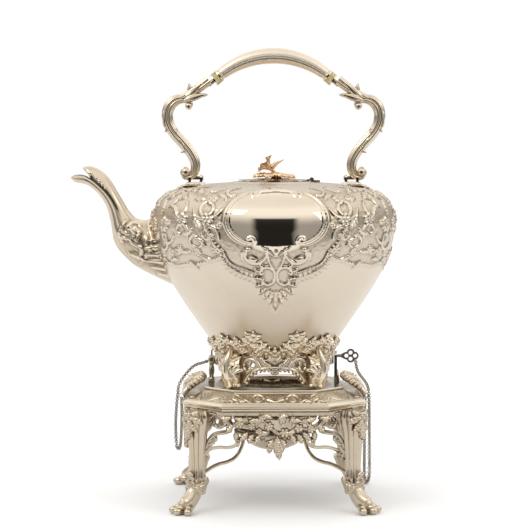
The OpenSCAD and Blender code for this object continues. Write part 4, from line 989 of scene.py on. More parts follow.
for u, z, heading, radius, spread in (
    (60, 243, -90, 8.5, 120), (102, 268, 90, 9.0, 130), (125, 268, 90, 9.0, 130),
    (165, 226, -90, 20, 120), (165, 262, 90, 14.0, 150), (76, 268, 90, 8.0, 130),
    (98, 228, -90, 8.0, 130),
):
    sheet.shell(spot(u, z), heading, radius, spread, 1.5)
hem = spots([
    (52, 219.5), (64, 216.5), (76, 214), (90, 213), (105, 211), (120, 213), (135, 210), (150, 207),
    (165, 204),
], 90)
sheet.lobes(hem, 5.0, 4.0, 0.9, 90, 0, 0.4)
ornament = sheet.h * np.where(plain_inside > 2.2, 0, 1)
ornament = np.maximum(ornament, np.where(plain_inside > 1.0, sheet.h, 0))
print("ornament covers", int((sheet.edge > 0).sum()), "of", sheet.h.size, "points")

# %% [markdown]
# The ground between the ornaments is punched, and the plain metal bulges a little in the oval.
# The quarter is then mirrored to a whole turn and laid on the profile, with the solid's wall behind it.

# %% Surface of the body
SUNK_BY, PUNCH, BULGE, BULGE_REACH = 0.75, 0.5, 0.5, 14.0
rng = np.random.default_rng(7)
punched = blurred(rng.random(sheet.h.shape), 1) - 0.5
bare = chased * (ornament < 0.15)
bulged = BULGE * np.clip(plain_inside / BULGE_REACH, 0, 1)
lift = ornament - SUNK_BY * chased + PUNCH * bare * punched + bulged
# The matt marks are 0 in the oval, 0.55 to 0.95 on the chased ground and 1 on the plain belly. In the
# silver's colour they also paint shade on the plain belly.
matt_and_shade_marks = blurred(np.where(plain_inside > 0.5, 0.0, np.where(chased > 0.4, 0.55 + 0.4 * bare, 1.0)), 1)


def all_round(q):
    """A quarter mirrored to a whole turn: front, side, back, side."""
    half = np.hstack([q, q[:, -2::-1]])
    return np.hstack([half, half[:, -2:0:-1]])


body_lift = all_round(lift)[::-1]
body_hollow = all_round(hollows(lift, 6, 1.1) * np.clip(chased + (ornament > 0.1), 0, 1))[::-1]
body_matt = all_round(matt_and_shade_marks)[::-1]
rows, turns = body_lift.shape
angle = round_turn(turns)
v_rows = -sheet.v[::-1]
r_rows = np.interp(v_rows, run, outline[:, 0])
z_rows = np.interp(v_rows, run, outline[:, 1])
nr_rows = np.interp(v_rows, body_v, out_r)
nz_rows = np.interp(v_rows, body_v, out_z)
radius = r_rows[:, None] + nr_rows[:, None] * body_lift
tall = z_rows[:, None] + nz_rows[:, None] * body_lift
body = Build()
body.add(
    np.stack([radius * np.sin(angle), -radius * np.cos(angle), np.broadcast_to(tall, radius.shape)], -1),
    grid_faces(rows, turns, wrap=True), body_hollow, body_matt,
)
inner = np.stack([outline[:, 0] - WALL, outline[:, 1]], -1)[3:-2]
inner[:, 1] -= np.where(inner[:, 0] < SHOULDER_R + 6, WALL, 0) * (inner[:, 1] > BELLY_Z)
inner[:, 0] += np.where(inner[:, 1] > SHOULDER_Z - WALL, WALL, 0)
lathe(body, np.vstack([[(MOUTH_R, DOME_Z)], inner, [(COLLAR_R, BOTTOM_Z)]]), sides=128, matt_and_shade=0.8)
body.piece("kettle_body", "body", "kettle", stands_for=("kettle_shell",))
print("kettle body:", body.count, "points")

# %% [markdown]
# ## The spout
# The spout is a trough with ribs along it, under a plain neck that ends in a pointed hood.
# Its side is chased: a scrolled roundel at the bend and long leaf ribs where it meets the body.
# This sheet is drawn as the side is seen, with `u` along X and `v` up.

# %% Spout side
side = Relief((-182, 184), (-70, 300), 0.6)
ROUNDEL = (-125.5, 239.5)
for turn in range(4):
    heading = 25 + 90 * turn
    start = np.array(ROUNDEL) + 9.2 * np.array(heading_of(heading))
    side.scroll(start, heading + 100, 8.0, 130, 1.7, 1.9, 0.45)
side.drop(ROUNDEL, 0, 12.5, 12.0, 1.1)
side.flower(ROUNDEL, 3.6, 2.2, 5, 18)
for start, heading, length, width, bend in (
    ((-86, 247), 174, 25, 6.5, -14), ((-86, 240), 176, 23, 6.5, -10), ((-88, 232), 178, 21, 6.5, 10),
    ((-86, 225), 176, 27, 6.5, 12), ((-84, 218), 174, 30, 6.5, 10), ((-82, 211), 172, 32, 6.5, 8),
    ((-80, 204), 170, 31, 6.5, 4), ((-78, 197.5), 168, 26, 6.0, 3),
):
    side.leaf(start, heading, length, width, 1.7, bend, lobes=1)
side.stroke(
    smooth_line([(-108, 256), (-110, 244), (-107, 232), (-110, 220), (-118, 209)], 20), [0.8, 1.5, 0.8], 1.5
)
side.scroll((-116, 226), 190, 9.0, -230, 1.6, 1.7, 0.4)
side.scroll((-128, 222), -70, 8.0, 200, 1.5, 1.5, 0.4)
side.leaf((-133, 229), 110, 15, 5.5, 1.4, -30)
side.leaf((-113, 214), 150, 17, 6.0, 1.5, 20)
side.leaf((-118, 249), 10, 14, 5.5, 1.4, 20)
side.drop((-106, 222), 70, 12, 4.5, 1.6, crease=0.5)
side.drop((-111.5, 231), 95, 10, 3.2, 1.5)
print("the spout's side is drawn on", side.h.size, "points")


def bilinear(relief, field, u, v):
    """The height of a sheet at any places on it."""
    x = np.clip((u - relief.u[0]) / relief.step, 0, len(relief.u) - 1.001)
    y = np.clip((v - relief.v[0]) / relief.step, 0, len(relief.v) - 1.001)
    i, j = y.astype(int), x.astype(int)
    f, g = y - i, x - j
    low = field[i, j] * (1 - g) + field[i, j + 1] * g
    high = field[i + 1, j] * (1 - g) + field[i + 1, j + 1] * g
    return low * (1 - f) + high * f


# %% [markdown]
# The tube is made in two halves, the trough below and the hood above. They share their side edges.

# %% Spout surfaces
# Each station: a point of the side edge, a point of the outer line, and the half width
TROUGH = [
    (-76, 222, -72, 186, 21), (-92, 222, -90, 191.5, 20.5), (-110, 226, -105, 198.5, 19.5),
    (-123, 233, -120, 206.5, 17.5), (-131.5, 243, -133, 218, 14.5), (-135.5, 250, -140.5, 229, 12.2),
    (-138, 257.5, -143.6, 246, 10.6), (-142.6, 266, -147.3, 260, 9.8), (-148, 273, -152.8, 269.4, 9.0),
    (-153.6, 278.4, -158, 275, 8.2), (-159.7, 283.5, -163.5, 279.2, 7.2),
    (-166.8, 287.6, -168.5, 280.9, 6.2), (-173.9, 288.4, -174.8, 282.2, 4.4),
    (-178.4, 286.8, -179, 285.4, 1.2),
]
HOOD = [
    (-76, 222, -76, 264, 21), (-92, 222, -100, 254, 20.5), (-110, 226, -111, 248.5, 19.5),
    (-123, 233, -121, 249.8, 17.5), (-131.5, 243, -128, 257, 14.5), (-135.5, 250, -131.2, 262.5, 12.2),
    (-138, 257.5, -134.5, 268, 10.6), (-142.6, 266, -139.5, 276.5, 9.8), (-148, 273, -143.5, 283, 9.0),
    (-153.6, 278.4, -148, 288.5, 8.2), (-159.7, 283.5, -154, 293.2, 7.2),
    (-163.2, 288.6, -160.6, 295.7, 6.4), (-166, 291.5, -165, 295.9, 4.4),
    (-168.5, 294.4, -168.3, 295.0, 0.6),
]
SPOUT_WALL = 1.3


def normals_of(points):
    """Unit normals of a grid of points."""
    normal = np.cross(np.gradient(points, axis=0), np.gradient(points, axis=1))
    return normal / (np.linalg.norm(normal, axis=-1)[..., None] + 1e-9)


def thick_sheet(build, outer, inner, flip, hollow, matt_and_shade):
    """Two grids of points, joined along all four borders."""
    rows, cols = outer.shape[:2]
    build.add(outer, grid_faces(rows, cols, flip=flip), hollow, matt_and_shade)
    build.add(inner, grid_faces(rows, cols, flip=not flip), 0.5, 0.5)
    borders = ((outer[0], inner[0], flip), (outer[-1], inner[-1], not flip),
               (outer[:, 0], inner[:, 0], not flip), (outer[:, -1], inner[:, -1], flip))
    for a, b, turned in borders:
        build.add(np.stack([a, b]), grid_faces(2, len(a), flip=turned), 0.1, 0.2)


def spout_half(build, stations, ribs, count=150, around=97):
    """One half of the spout's tube, from its front edge round to its back edge."""
    station = smooth_line(stations, count)
    a = np.linspace(0, np.pi, around)
    edge, outer, wide = station[:, None, 0:2], station[:, None, 2:4], station[:, None, 4]
    line = edge + (outer - edge) * np.sin(a)[None, :, None]
    points = np.stack([line[..., 0], -wide * np.cos(a), line[..., 1]], -1)
    normal = normals_of(points)
    away = points[:, around // 2] - np.stack([edge[:, 0, 0], 0 * edge[:, 0, 0], edge[:, 0, 1]], -1)
    outward = (normal[:, around // 2] * away).sum() > 0
    normal = normal if outward else -normal
    facing = np.clip(np.abs(normal[..., 1]) * 1.8, 0, 1)
    chasing = bilinear(side, side.h, points[..., 0], points[..., 2]) * facing
    neck = np.clip((-116 - points[..., 0]) / 8, 0, 1) * np.clip(wide / 4, 0, 1) * (chasing < 0.1)
    grooves = ribs * (np.abs(np.cos(4 * a)) - 0.6) * neck
    dark = hollows(chasing, 5, 0.9) + 0.7 * hollows(grooves, 2, 0.4) * neck
    dull = np.where(points[..., 0] > -137, 0.35, 0.05)
    thick_sheet(build, points + normal * (chasing + grooves)[..., None], points - normal * SPOUT_WALL,
                outward, np.clip(dark, 0, 1), dull)


spout = Build()
spout_half(spout, TROUGH, 0.9)
spout_half(spout, HOOD, 0.0)
# Beads along the edge of the hood
for x, z, size in (
    (-161.5, 289.5, 2.0), (-156.5, 285.6, 1.3), (-153.5, 282.6, 1.4), (-150.8, 280.0, 1.3),
    (-148.2, 277.2, 1.2),
):
    wide = np.interp(x, [-163, -159.7, -153.6, -148], [6.4, 7.2, 8.2, 9.0])
    for y in (-wide, wide):
        ball(spout, (x, y, z), (size, 0.6 * size, size), rows=9, cols=14, matt_and_shade=0.0)
spout.piece("spout_chased", "cast", "kettle", stands_for=("spout",))
print("spout:", spout.count, "points")

# %% [markdown]
# ## The handle
# Two cast arms of fluted scrolls carry a hollow grip between aged insulators.

# %% Arms
ARM_STEM = [(57.0, 371.5), (63, 367.0), (69, 362.5), (75, 358.7), (81, 356.0), (86, 355.2)]
ARM_SCROLL = [
    (74.5, 347.0), (73.4, 350.4), (75.8, 353.6), (80.5, 355.0), (86.5, 353.6), (91.6, 348.6), (93.6, 341.0),
    (92.2, 332.5), (87.5, 324.5), (80.8, 317.0), (74.5, 309.5), (70.0, 301.5), (69.0, 294.0), (71.6, 288.2),
    (76.6, 286.3), (80.0, 289.4), (78.6, 293.4), (75.2, 292.6),
]
ARM_WIDE = [2.0, 2.4, 3.0, 3.9, 4.9, 5.3, 5.1, 4.9, 4.8, 4.8, 4.8, 4.7, 4.4, 3.6, 3.0, 2.5, 2.2, 1.7]
FLUTES = 7


def fluted_ring(half_in, half_y, sides=56, depth=0.13):
    """An oval cross-section with rounded flutes round it."""
    a = round_turn(sides)
    cut = 1 - depth * (1 - np.abs(np.cos(FLUTES * a / 2 + np.pi / 4))) * 1.4
    return oval(half_in, half_y, sides) * cut[:, None]


def flat_leaf(start, heading, length, width, height=1.2, bend=0.0, lobes=3, step=0.35):
    """A leaf as a small relief of its own."""
    reach = length + width
    low, high = np.array(start) - reach, np.array(start) + reach
    leaf_sheet = Relief(low, high, step)
    leaf_sheet.leaf(start, heading, length, width, height, bend, lobes)
    return leaf_sheet


def upright(y, side_of):
    """Places a sheet in an upright plane that faces the front (-1) or the back (1)."""
    return lambda u, v, w: (u, y + side_of * w, v)


def handle_arm(hand):
    """The right arm, or its mirror image on the left where `hand` is -1."""
    arm = Build()

    def hold(line):
        p = smooth_line(line, 9 * len(line))
        return np.stack([p[:, 0], 0 * p[:, 0], p[:, 1]], -1)

    main = hold(ARM_SCROLL)
    wide = np.interp(np.linspace(0, 1, len(main)), np.linspace(0, 1, len(ARM_WIDE)), ARM_WIDE)
    sweep(arm, main, lambda i: fluted_ring(wide[i], 0.98 * wide[i]), hollow=0.12, matt_and_shade=0.3)
    stem = hold(ARM_STEM)
    thin = np.linspace(4.7, 3.3, len(stem))
    sweep(arm, stem, lambda i: fluted_ring(thin[i], thin[i]), hollow=0.12, matt_and_shade=0.3)
    for start, heading, length, width, bend, y in (
        ((78, 357.0), 148, 22, 6.5, -14, 2.2), ((75, 361.0), 118, 8, 4.0, -50, 1.0),
        ((79, 353.6), 158, 22, 6.5, 16, 2.4), ((93.8, 347), -72, 17, 6.0, -18, 2.0),
        ((84, 321), 55, 9, 4.2, 50, 2.0), ((84.5, 321.5), -128, 15, 5.0, 22, 2.2),
        ((92.4, 333), -84, 8.0, 4.0, 40, 1.6), ((76.5, 313), -66, 8.0, 4.0, 45, 1.6),
    ):
        for facing in (-1, 1):
            leaf = flat_leaf(start, heading, length, width, 1.0, bend, lobes=1)
            casting(arm, leaf, upright(facing * y, facing), thick=1.2, back=1.2, matt_and_shade=0.3)
    for at, size in (((74.9, 348.6), 3.0), ((77.4, 290.6), 3.4)):
        for facing in (-1, 1):
            knob = Relief((at[0] - 5, at[1] - 5), (at[0] + 5, at[1] + 5), 0.3)
            knob.bead(at, size, 1.6)
            casting(arm, knob, upright(facing * 3.0, facing), thick=0.8, back=2.0, matt_and_shade=0.2)
    for points in arm.points:
        points[:, 0] *= hand
    if hand < 0:
        arm.inside_out()
    name = "arm_left" if hand < 0 else "arm_right"
    arm.piece(name, "cast", "handle", stands_for=("handle_" + name,))
    return arm.count


print("arms:", handle_arm(-1) + handle_arm(1), "points")

# %% [markdown]
# The grip is an arc that swells in the middle. A pair of fine rings closes each end.

# %% Grip
GRIP_R, GRIP_HALF, GRIP_TOP = 73.7, 40.0, 400.0
GRIP_MID, GRIP_END = 7.0, 4.8
grip_centre = GRIP_TOP - GRIP_MID - GRIP_R
grip_turn = np.radians(np.linspace(-GRIP_HALF, GRIP_HALF, 121))
grip_z = grip_centre + GRIP_R * np.cos(grip_turn)
grip_line = np.stack([GRIP_R * np.sin(grip_turn), 0 * grip_turn, grip_z], -1)
bulge = np.sin(np.linspace(0, np.pi, 121)) ** 0.8
grip_half = GRIP_END + (GRIP_MID - GRIP_END) * bulge


def grip_ring(i, sides=72):
    """Rounded above, with a crease on each side where the lower half sets in."""
    a = round_turn(sides)
    low = np.cos(a) > 0
    crease = np.exp(-(((np.abs(np.abs(a - np.pi) - np.pi / 2 + 0.28)) / 0.10) ** 2))
    r = grip_half[i] * (1 - 0.07 * crease - 0.03 * low)
    return np.stack([r * np.cos(a), 0.92 * r * np.sin(a)], -1)


def end_ring(i):
    """A fine ring, fullest in the middle one of its three sections."""
    radius = GRIP_END + (0.5 if i == 1 else 0.1)
    return oval(radius, radius, 40)


grip = Build()
sweep(grip, grip_line, grip_ring, matt_and_shade=0.8)
along, down = heading_of(GRIP_HALF)
for at, hand in ((grip_line[0], -1), (grip_line[-1], 1)):
    outwards = np.array([hand * along, 0, -down])
    for inset in (0.55, 1.76):
        sweep(grip, [at + outwards * (k - inset) for k in (-0.5, 0, 0.5)], end_ring, hollow=0.1)
grip.piece("grip", "engraved", "handle", stands_for=("handle_grip",))
print("grip:", grip.count, "points")

# %% [markdown]
# ## The stand's top
# The mouldings are one profile carried round an eight-sided line. The sloping front and back are chased,
# and the slanted corners between them are matted.

# %% Eight sides
RIM_HALF, RIM_STRAIGHT, RIM_Z = 80.0, 46.0, 94.0
DECK_HALF, DECK_Z, FLAME_R = 59.0, 104.0, 43.0


def corners(half):
    """The eight corners of the stand's outline, from the left end of the front round to the right."""
    s = RIM_STRAIGHT * half / RIM_HALF
    return np.array([
        (-s, -half), (s, -half), (half, -s), (half, s), (s, half), (-s, half), (-half, s), (-half, -s)
    ])


def moulding(build, profile, steps=14, matt_and_shade=(0.1, 0.1)):
    """Carries rows of (half width, height) round; the two matts are for straight and slanted sides."""
    profile = np.array(profile, float)
    rings = np.array([corners(half) for half, _ in profile])
    share = np.linspace(0, 1, steps)[None, :, None]
    for k in range(8):
        a, b = rings[:, k][:, None], rings[:, (k + 1) % 8][:, None]
        flat = a + (b - a) * share
        tall = np.repeat(profile[:, 1][:, None], steps, 1)[..., None]
        build.add(np.concatenate([flat, tall], -1), grid_faces(len(profile), steps), 0.0, matt_and_shade[k % 2])


def cove_side(build, k, sheet, matt_and_shade, rows=54, cols=240):
    """One sloping side, with the heights of a sheet of relief on it."""
    low, high = corners(RIM_HALF - 3.2), corners(DECK_HALF + 0.8)
    nxt = (k + 1) % 8
    t = np.linspace(0, 1, rows)[:, None, None]
    s = np.linspace(0, 1, cols)[None, :, None]
    a = low[k] + (high[k] - low[k]) * t
    b = low[nxt] + (high[nxt] - low[nxt]) * t
    flat = a + (b - a) * s
    way = (low[nxt] - low[k]) / np.linalg.norm(low[nxt] - low[k])
    away = np.array([way[1], -way[0]])
    inward = float((low[k] - high[k]) @ away)
    rise = DECK_Z - 1.8 - RIM_Z
    slope = math.hypot(inward, rise)
    u = flat @ way
    v = np.broadcast_to(t[..., 0] * slope, u.shape)
    lift = bilinear(sheet, sheet.h, u, v) if sheet else 0 * u
    normal = np.array([away[0] * rise / slope, away[1] * rise / slope, inward / slope])
    tall = np.broadcast_to(RIM_Z + rise * t, u.shape + (1,))
    points = np.concatenate([flat, tall], -1) + lift[..., None] * normal
    build.add(points, grid_faces(rows, cols), hollows(lift, 4, 0.7) if sheet else 0.0, matt_and_shade)


print("the rim is", 2 * RIM_HALF, "mm wide and the deck lies at", DECK_Z, "mm")

# %% [markdown]
# Two sheets are drawn as halves and mirrored: one for the front and back, one for the slanted corners.

# %% Chased panel of the slope
panel = Relief((0, -1), (50, 26), 0.4)
panel.stroke([(0, 17.6), (44, 17.6)], 0.6, 0.6)
panel.stroke([(0, 1.4), (50, 1.4)], 0.6, 0.6)
panel.shell((0, 3), 90, 13, 130, 1.1, ribs=7)
arch = smooth_line([(8.4, 2.6), (8.6, 8), (11, 13), (14.8, 15), (18.6, 13), (21, 8), (21.2, 2.6)], 30)
panel.stroke(arch, 1.1, 1.2, groove=0.3)
panel.leaf((14.8, 3), 90, 10, 6, 1.0)
panel.scroll((22.5, 3.4), 70, 6.5, -230, 1.1, 1.1)
panel.scroll((34.0, 15.2), 190, 5.5, 240, 1.1, 1.1)
panel.leaf((27, 4.5), 20, 13, 6, 1.0, bend=45)
panel.leaf((36, 10), -10, 9, 5, 0.9, bend=-40)
panel.flower((31, 8.4), 3.2, 1.1)
panel.scroll((42, 4), 120, 4.0, 220, 0.9, 0.9)
panel = panel.mirrored()
corner = Relief((0, -1), (26, 26), 0.4)
corner.shell((0, 1.5), 90, 17.5, 116, 1.1, ribs=9)
corner.leaf((9, 3), 42, 12, 6, 1.0, bend=20)
corner.scroll((16, 2.6), 80, 4.6, -220, 0.9, 1.0)
corner.stroke([(0, 1.4), (24, 1.4)], 0.6, 0.6)
corner = corner.mirrored()
print("the two panels have", panel.h.size + corner.h.size, "points")

# %% [markdown]
# The moulded rim, the slopes and the deck are gathered into one piece. The deck runs in from its
# eight-sided edge to a round opening over the burner.

# %% Top of the stand
top = Build()
RIM_LINE = [
    (72, 88), (77.6, 88), (78.6, 88.3), (79.0, 89.0), (78.6, 89.7), (78.3, 90.1), (78.8, 90.5),
    (79.7, 90.8), (80.2, 91.6), (80.1, 92.5), (79.5, 93.1), (78.8, 93.3), (78.5, 93.8), (78.0, 94.3),
    (77.4, 94.3), (76.9, 94.0),
]
moulding(top, smooth_line(RIM_LINE, 90))
moulding(top, [(76.9, 94.2), (72.0, 92.0), (72, 88)])
DECK_LINE = [
    (59.7, 102.2), (60.4, 102.5), (60.6, 103.2), (60.3, 103.9), (59.6, 104.2), (58.8, 104.1), (58.2, 104.0),
]
moulding(top, smooth_line(DECK_LINE, 30))
for k in range(8):
    if k in (0, 4):
        cove_side(top, k, panel, 0.3)
    elif k % 2:
        cove_side(top, k, corner, 0.8, cols=150)
    else:
        cove_side(top, k, None, 0.2, rows=8, cols=20)
DECK_STEPS, DECK_EDGE, DECK_T = 18, 58.2, 1.8
for k in range(8):
    a, b = corners(DECK_EDGE)[k], corners(DECK_EDGE)[(k + 1) % 8]
    edge = a + (b - a) * np.linspace(0, 1, DECK_STEPS)[:, None]
    hole = FLAME_R * edge / np.linalg.norm(edge, axis=1)[:, None]
    tall = np.full((DECK_STEPS, 1), DECK_Z)
    flats = (edge, edge * 0.7 + hole * 0.3, hole, hole, edge)
    drops = (0, 0, 0, DECK_T, DECK_T)
    strips = np.stack([np.hstack([flat, tall - down]) for flat, down in zip(flats, drops)])
    top.add(strips, grid_faces(5, DECK_STEPS), 0.0, 0.35)
top.piece("stand_top", "plain_chased", "stand", stands_for=("stand_deck", "stand_cove", "stand_rim"))
print("top of the stand:", top.count, "points")

# %% [markdown]
# Each border is a cast strip that follows the slope at one end of the stand. Its upper edge is scalloped.

# %% Side borders
CREST = smooth_line(
    [(78.6, 94.4), (78.8, 97.0), (75.8, 101.2), (70.6, 104.9), (64.8, 107.7), (59.2, 109.9)], 60
)
STRIP_TALL = 29.5
crest_run = run_of(CREST)


def on_crest(hand):
    """Lays the strip up the slope, on the left where `hand` is -1."""
    def place(u, v, w):
        up_slope = v * crest_run[-1] / STRIP_TALL
        x = np.interp(up_slope, crest_run, CREST[:, 0])
        z = np.interp(up_slope, crest_run, CREST[:, 1])
        return hand * (x + 0.6 * w), u, z + 0.75 * w
    return place


strip = Relief((0, -1), (40, 33), 0.4)
strip.stroke([(0, 1.6), (37, 1.6)], 1.3, 1.0)
strip.fill([(-1, 1), (37, 1), (36.5, 9), (34, 15), (-1, 17)], 0.4)
strip.shell((0, 12), 90, 15.5, 140, 1.6, ribs=9)
strip.scroll((9, 14), 80, 6.5, -260, 1.5, 1.5)
strip.leaf((10, 6), 30, 15, 7, 1.2, bend=35)
strip.scroll((21, 19), 200, 6.0, 250, 1.4, 1.4)
wave = smooth_line([(12, 22), (17, 24), (22, 22), (26, 17), (31, 16), (35, 11), (36, 4)], 30)
strip.stroke(wave, 1.6, 1.4, 0.3)
scallops = smooth_line([(3, 27), (12, 25), (18, 26.2), (23, 24.6), (27, 20.6), (32, 19), (37, 12)], 30)
strip.lobes(scallops, 5.0, 4.2, 2.6)
strip.lobes([(2, 4.6), (36, 4.6)], 4.4, 3.6, 1.8)
strip.scroll((35, 4), 100, 4.6, 230, 1.3, 1.3)
strip.flower((28, 9), 4.2, 1.5)
strip = strip.mirrored()
for hand, name in ((-1, "border_left"), (1, "border_right")):
    border = Build()
    casting(border, strip, on_crest(hand), thick=2.0, back=0.9, matt_and_shade=0.3)
    if hand < 0:
        border.inside_out()
    border.piece(name + "_pierced", "cast", "stand", stands_for=(name,))
    print(name, "has", border.count, "points")

# %% [markdown]
# ## Aprons
# Between the legs hang four cast garlands, each with a pendant of leaves.

# %% Garland
garland = Relief((-53, 44), (53, 90), 0.42)
garland.fill([(-50.6, 88), (50.6, 88), (50.6, 84.6), (-50.6, 84.6)], 0.5)
vine = smooth_line([
    (-45, 83), (-38, 76), (-31, 77), (-20, 75), (-12, 80), (-5, 75), (2, 69), (8, 69), (14, 71), (20, 73.5),
    (31, 72.5), (38, 76), (45, 83),
], 80)
garland.stroke(vine, 1.7, 1.2, 0.2)
for x in (-44, -25, -11, 3, 16, 29, 44):
    garland.stroke([(x, 85), (x + 1.5, 76)], 1.0, 0.9)
garland.stroke([(-50.4, 86.9), (50.4, 86.9)], 1.0, 1.1)
garland.stroke([(-50.4, 84.6), (50.4, 84.6)], 0.6, 0.8)
for sign in (-1, 1):
    garland.scroll((sign * 49, 84), 90 + sign * 100, 6.5, sign * 250, 1.5, 1.5)
    garland.scroll((sign * 36, 78), 90 + sign * 150, 6.0, -sign * 240, 1.4, 1.5)
    for at, heading, length, width, bend in (
        ((6, 70), -20, 12, 6, 50), ((12, 79), 20, 12, 6, -40), ((24, 70), -60, 10, 6, 30),
        ((26, 80), 0, 10, 5.5, 40), ((34, 70), -100, 8, 5, 20), ((36, 76), -30, 10, 5, -40),
        ((2.5, 62), -60, 11, 7, -30), ((14, 68), -80, 9, 6, 30), ((19, 68), -50, 9, 6, -30),
        ((38, 83), -20, 10, 5, 30), ((3, 82), 30, 9, 5, -30),
    ):
        bent = bend if sign > 0 else -bend
        way = heading if sign > 0 else 180 - heading
        garland.leaf((sign * at[0], at[1]), way, length, width, 1.5, bend=bent, base=0.4)
    garland.drop((sign * 32.3, 61), -90, 7.5, 4.0, 1.6, crease=0.4)
    garland.drop((sign * 32.3, 66), -90, 4.0, 3.0, 1.4)
    garland.drop((sign * 38.4, 72), -90, 5.0, 3.2, 1.4)
    garland.drop((sign * 38.4, 76), -90, 4.0, 2.4, 1.2)
    garland.lobes([(sign * 7, 61.5), (sign * 12, 64), (sign * 20, 65.5)], 4.0, 2.6, 1.3, lean=-sign * 90)
for x, z, size, petals, turn in (
    (-31, 77, 5.0, 5, 10), (-20.5, 75.5, 4.6, 6, 30), (-11.6, 82, 4.4, 5, 0), (-5.5, 75, 5.4, 6, 15),
    (7.9, 69.5, 5.8, 6, 0), (19.8, 73.5, 5.2, 5, 40), (30.8, 72.5, 4.8, 5, 70), (6.0, 80.5, 4.6, 5, 20),
    (15, 81.5, 3.6, 5, 50), (-14, 71.5, 3.8, 5, 20), (-25.5, 81, 3.4, 5, 60), (25, 80, 3.4, 5, 0),
):
    garland.flower((x, z), 0.86 * size, 2.2, petals, turn, base=0.5)
garland.leaf((1.5, 66), -88, 20, 9.5, 1.9, bend=8, lobes=5, base=0.3)
garland.leaf((-2, 64), -125, 9, 5.5, 1.5, bend=30, base=0.3)
garland.leaf((5, 64), -55, 9, 5.5, 1.5, bend=-30, base=0.3)

APRON_Y = -75.9
front_apron = Build()
casting(front_apron, garland, lambda u, v, w: (u, APRON_Y - w, v), thick=1.2, back=0.7, matt_and_shade=0.3)


for degrees, name in ((0, "apron_front"), (90, "apron_right"), (180, "apron_back"), (270, "apron_left")):
    front_apron.turned(degrees).piece(name + "_garland", "stand", "stand", stands_for=(name,))
print("aprons:", 4 * front_apron.count, "points")

# %% [markdown]
# ## Legs
# Each leg is a fluted shaft with a flower at its shoulder, two pierced brackets, and a foot of three toes.

# %% Outlines of the leg
LEG_XY = 67.0
SHAFT = smooth_line([
    (10.5, 88), (12.0, 83), (11.4, 77), (9.4, 70), (8.4, 62), (7.6, 54), (7.0, 45), (6.8, 38), (7.2, 33),
    (7.8, 29), (7.4, 25), (6.4, 20),
], 70)
FOOT = smooth_line([(0, 30), (1.5, 23), (5, 15.5), (10, 10), (15.5, 6.6), (20, 5.2)], 26)
FOOT_HALF = ([6.6, 7.0, 7.4, 7.8, 8.0, 6.4], [6.6, 6.6, 6.2, 5.6, 4.6, 3.0])
CUFF = smooth_line([
    (6.8, 15.5), (7.6, 18.5), (8.4, 21.5), (9.6, 24.6), (10.6, 26.4), (10.0, 26.9), (8.4, 25.4), (7.2, 23),
], 40)


def round_shaft(radius):
    """Wraps a sheet round the leg's own axis."""
    return lambda u, v, w: ((radius + w) * np.cos(u / radius), (radius + w) * np.sin(u / radius), v)


# Each toe's direction and reach, and the half sizes of its tip and its back
TOES = ((-24, 21.0), (0, 23.0), (24, 21.0))
TOE_TIP, TOE_BACK = (4.8, 3.5, 3.5), (6.0, 3.2, 3.4)
print("the shaft runs from", round(SHAFT[-1, 1], 1), "to", round(SHAFT[0, 1], 1), "mm")

# %% [markdown]
# A bracket is a pierced scroll that joins the shaft to the rim. Leaves wrap the shoulder and the ankle.

# %% Sheets of the leg
bracket = Relief((2, 40), (34, 90), 0.4)
bracket.stroke([(4, 87), (31, 87)], 1.2, 1.0)
brace = smooth_line([
    (5, 46), (7.4, 55), (10, 62), (15, 67), (21, 68.4), (26, 69.4), (29, 73), (28.6, 77.4), (25, 79.4),
    (22.4, 77.4), (23.4, 75.2),
], 50)
bracket.stroke(brace, [1.0, 1.8, 2.0, 1.7, 1.2], 1.5, 0.3)
bracket.bead((24.2, 75.4), 2.0, 1.6)
hook = smooth_line([(8, 86), (14, 85.4), (19, 82), (20, 77), (17, 74), (13.6, 75.6), (14.6, 78.2)], 34)
bracket.stroke(hook, [1.7, 1.6, 1.1], 1.4, 0.3)
bracket.bead((14.6, 77.6), 1.7, 1.5)
bracket.stroke([(7.5, 72), (7.5, 86)], 2.2, 0.8)
bracket.leaf((20, 84), -10, 11, 6, 1.3, bend=-20)
bracket.leaf((9, 58), 20, 9, 5, 1.2, bend=30)
bracket.leaf((6.5, 50), 60, 10, 5, 1.2, bend=-20)
bracket.drop((15.4, 64.0), -70, 6.5, 4.0, 1.4, crease=0.4)

shoulder_leaf = Relief((-16, 60), (16, 92), 0.4)
shoulder_leaf.leaf((0, 78), -90, 15, 9, 1.6, lobes=5)
for sign in (-1, 1):
    shoulder_leaf.leaf((sign * 3, 82), 90 - sign * 105, 11, 7, 1.5, bend=-sign * 30)
    shoulder_leaf.leaf((sign * 3, 84), 90 - sign * 55, 8, 5.5, 1.4)
    shoulder_leaf.leaf((sign * 2, 78), 90 - sign * 150, 10, 6, 1.4, bend=sign * 20)
shoulder_leaf.flower((0, 82), 6.4, 2.6, petals=6)

ankle_leaf = Relief((-12, 8), (12, 40), 0.4)
ankle_leaf.leaf((0, 17), 90, 19, 9, 1.5, lobes=5)
for sign in (-1, 1):
    ankle_leaf.leaf((sign * 3, 18), 90 - sign * 35, 12, 7, 1.4, bend=-sign * 40)
    ankle_leaf.scroll((sign * 7, 16), 90 + sign * 30, 4.0, -sign * 200, 1.2, 1.2)

print("three sheets with", bracket.h.size + shoulder_leaf.h.size + ankle_leaf.h.size, "points")

# %% [markdown]
# One leg is put together about its own axis, with its toes towards +X. Four turned copies make the set.

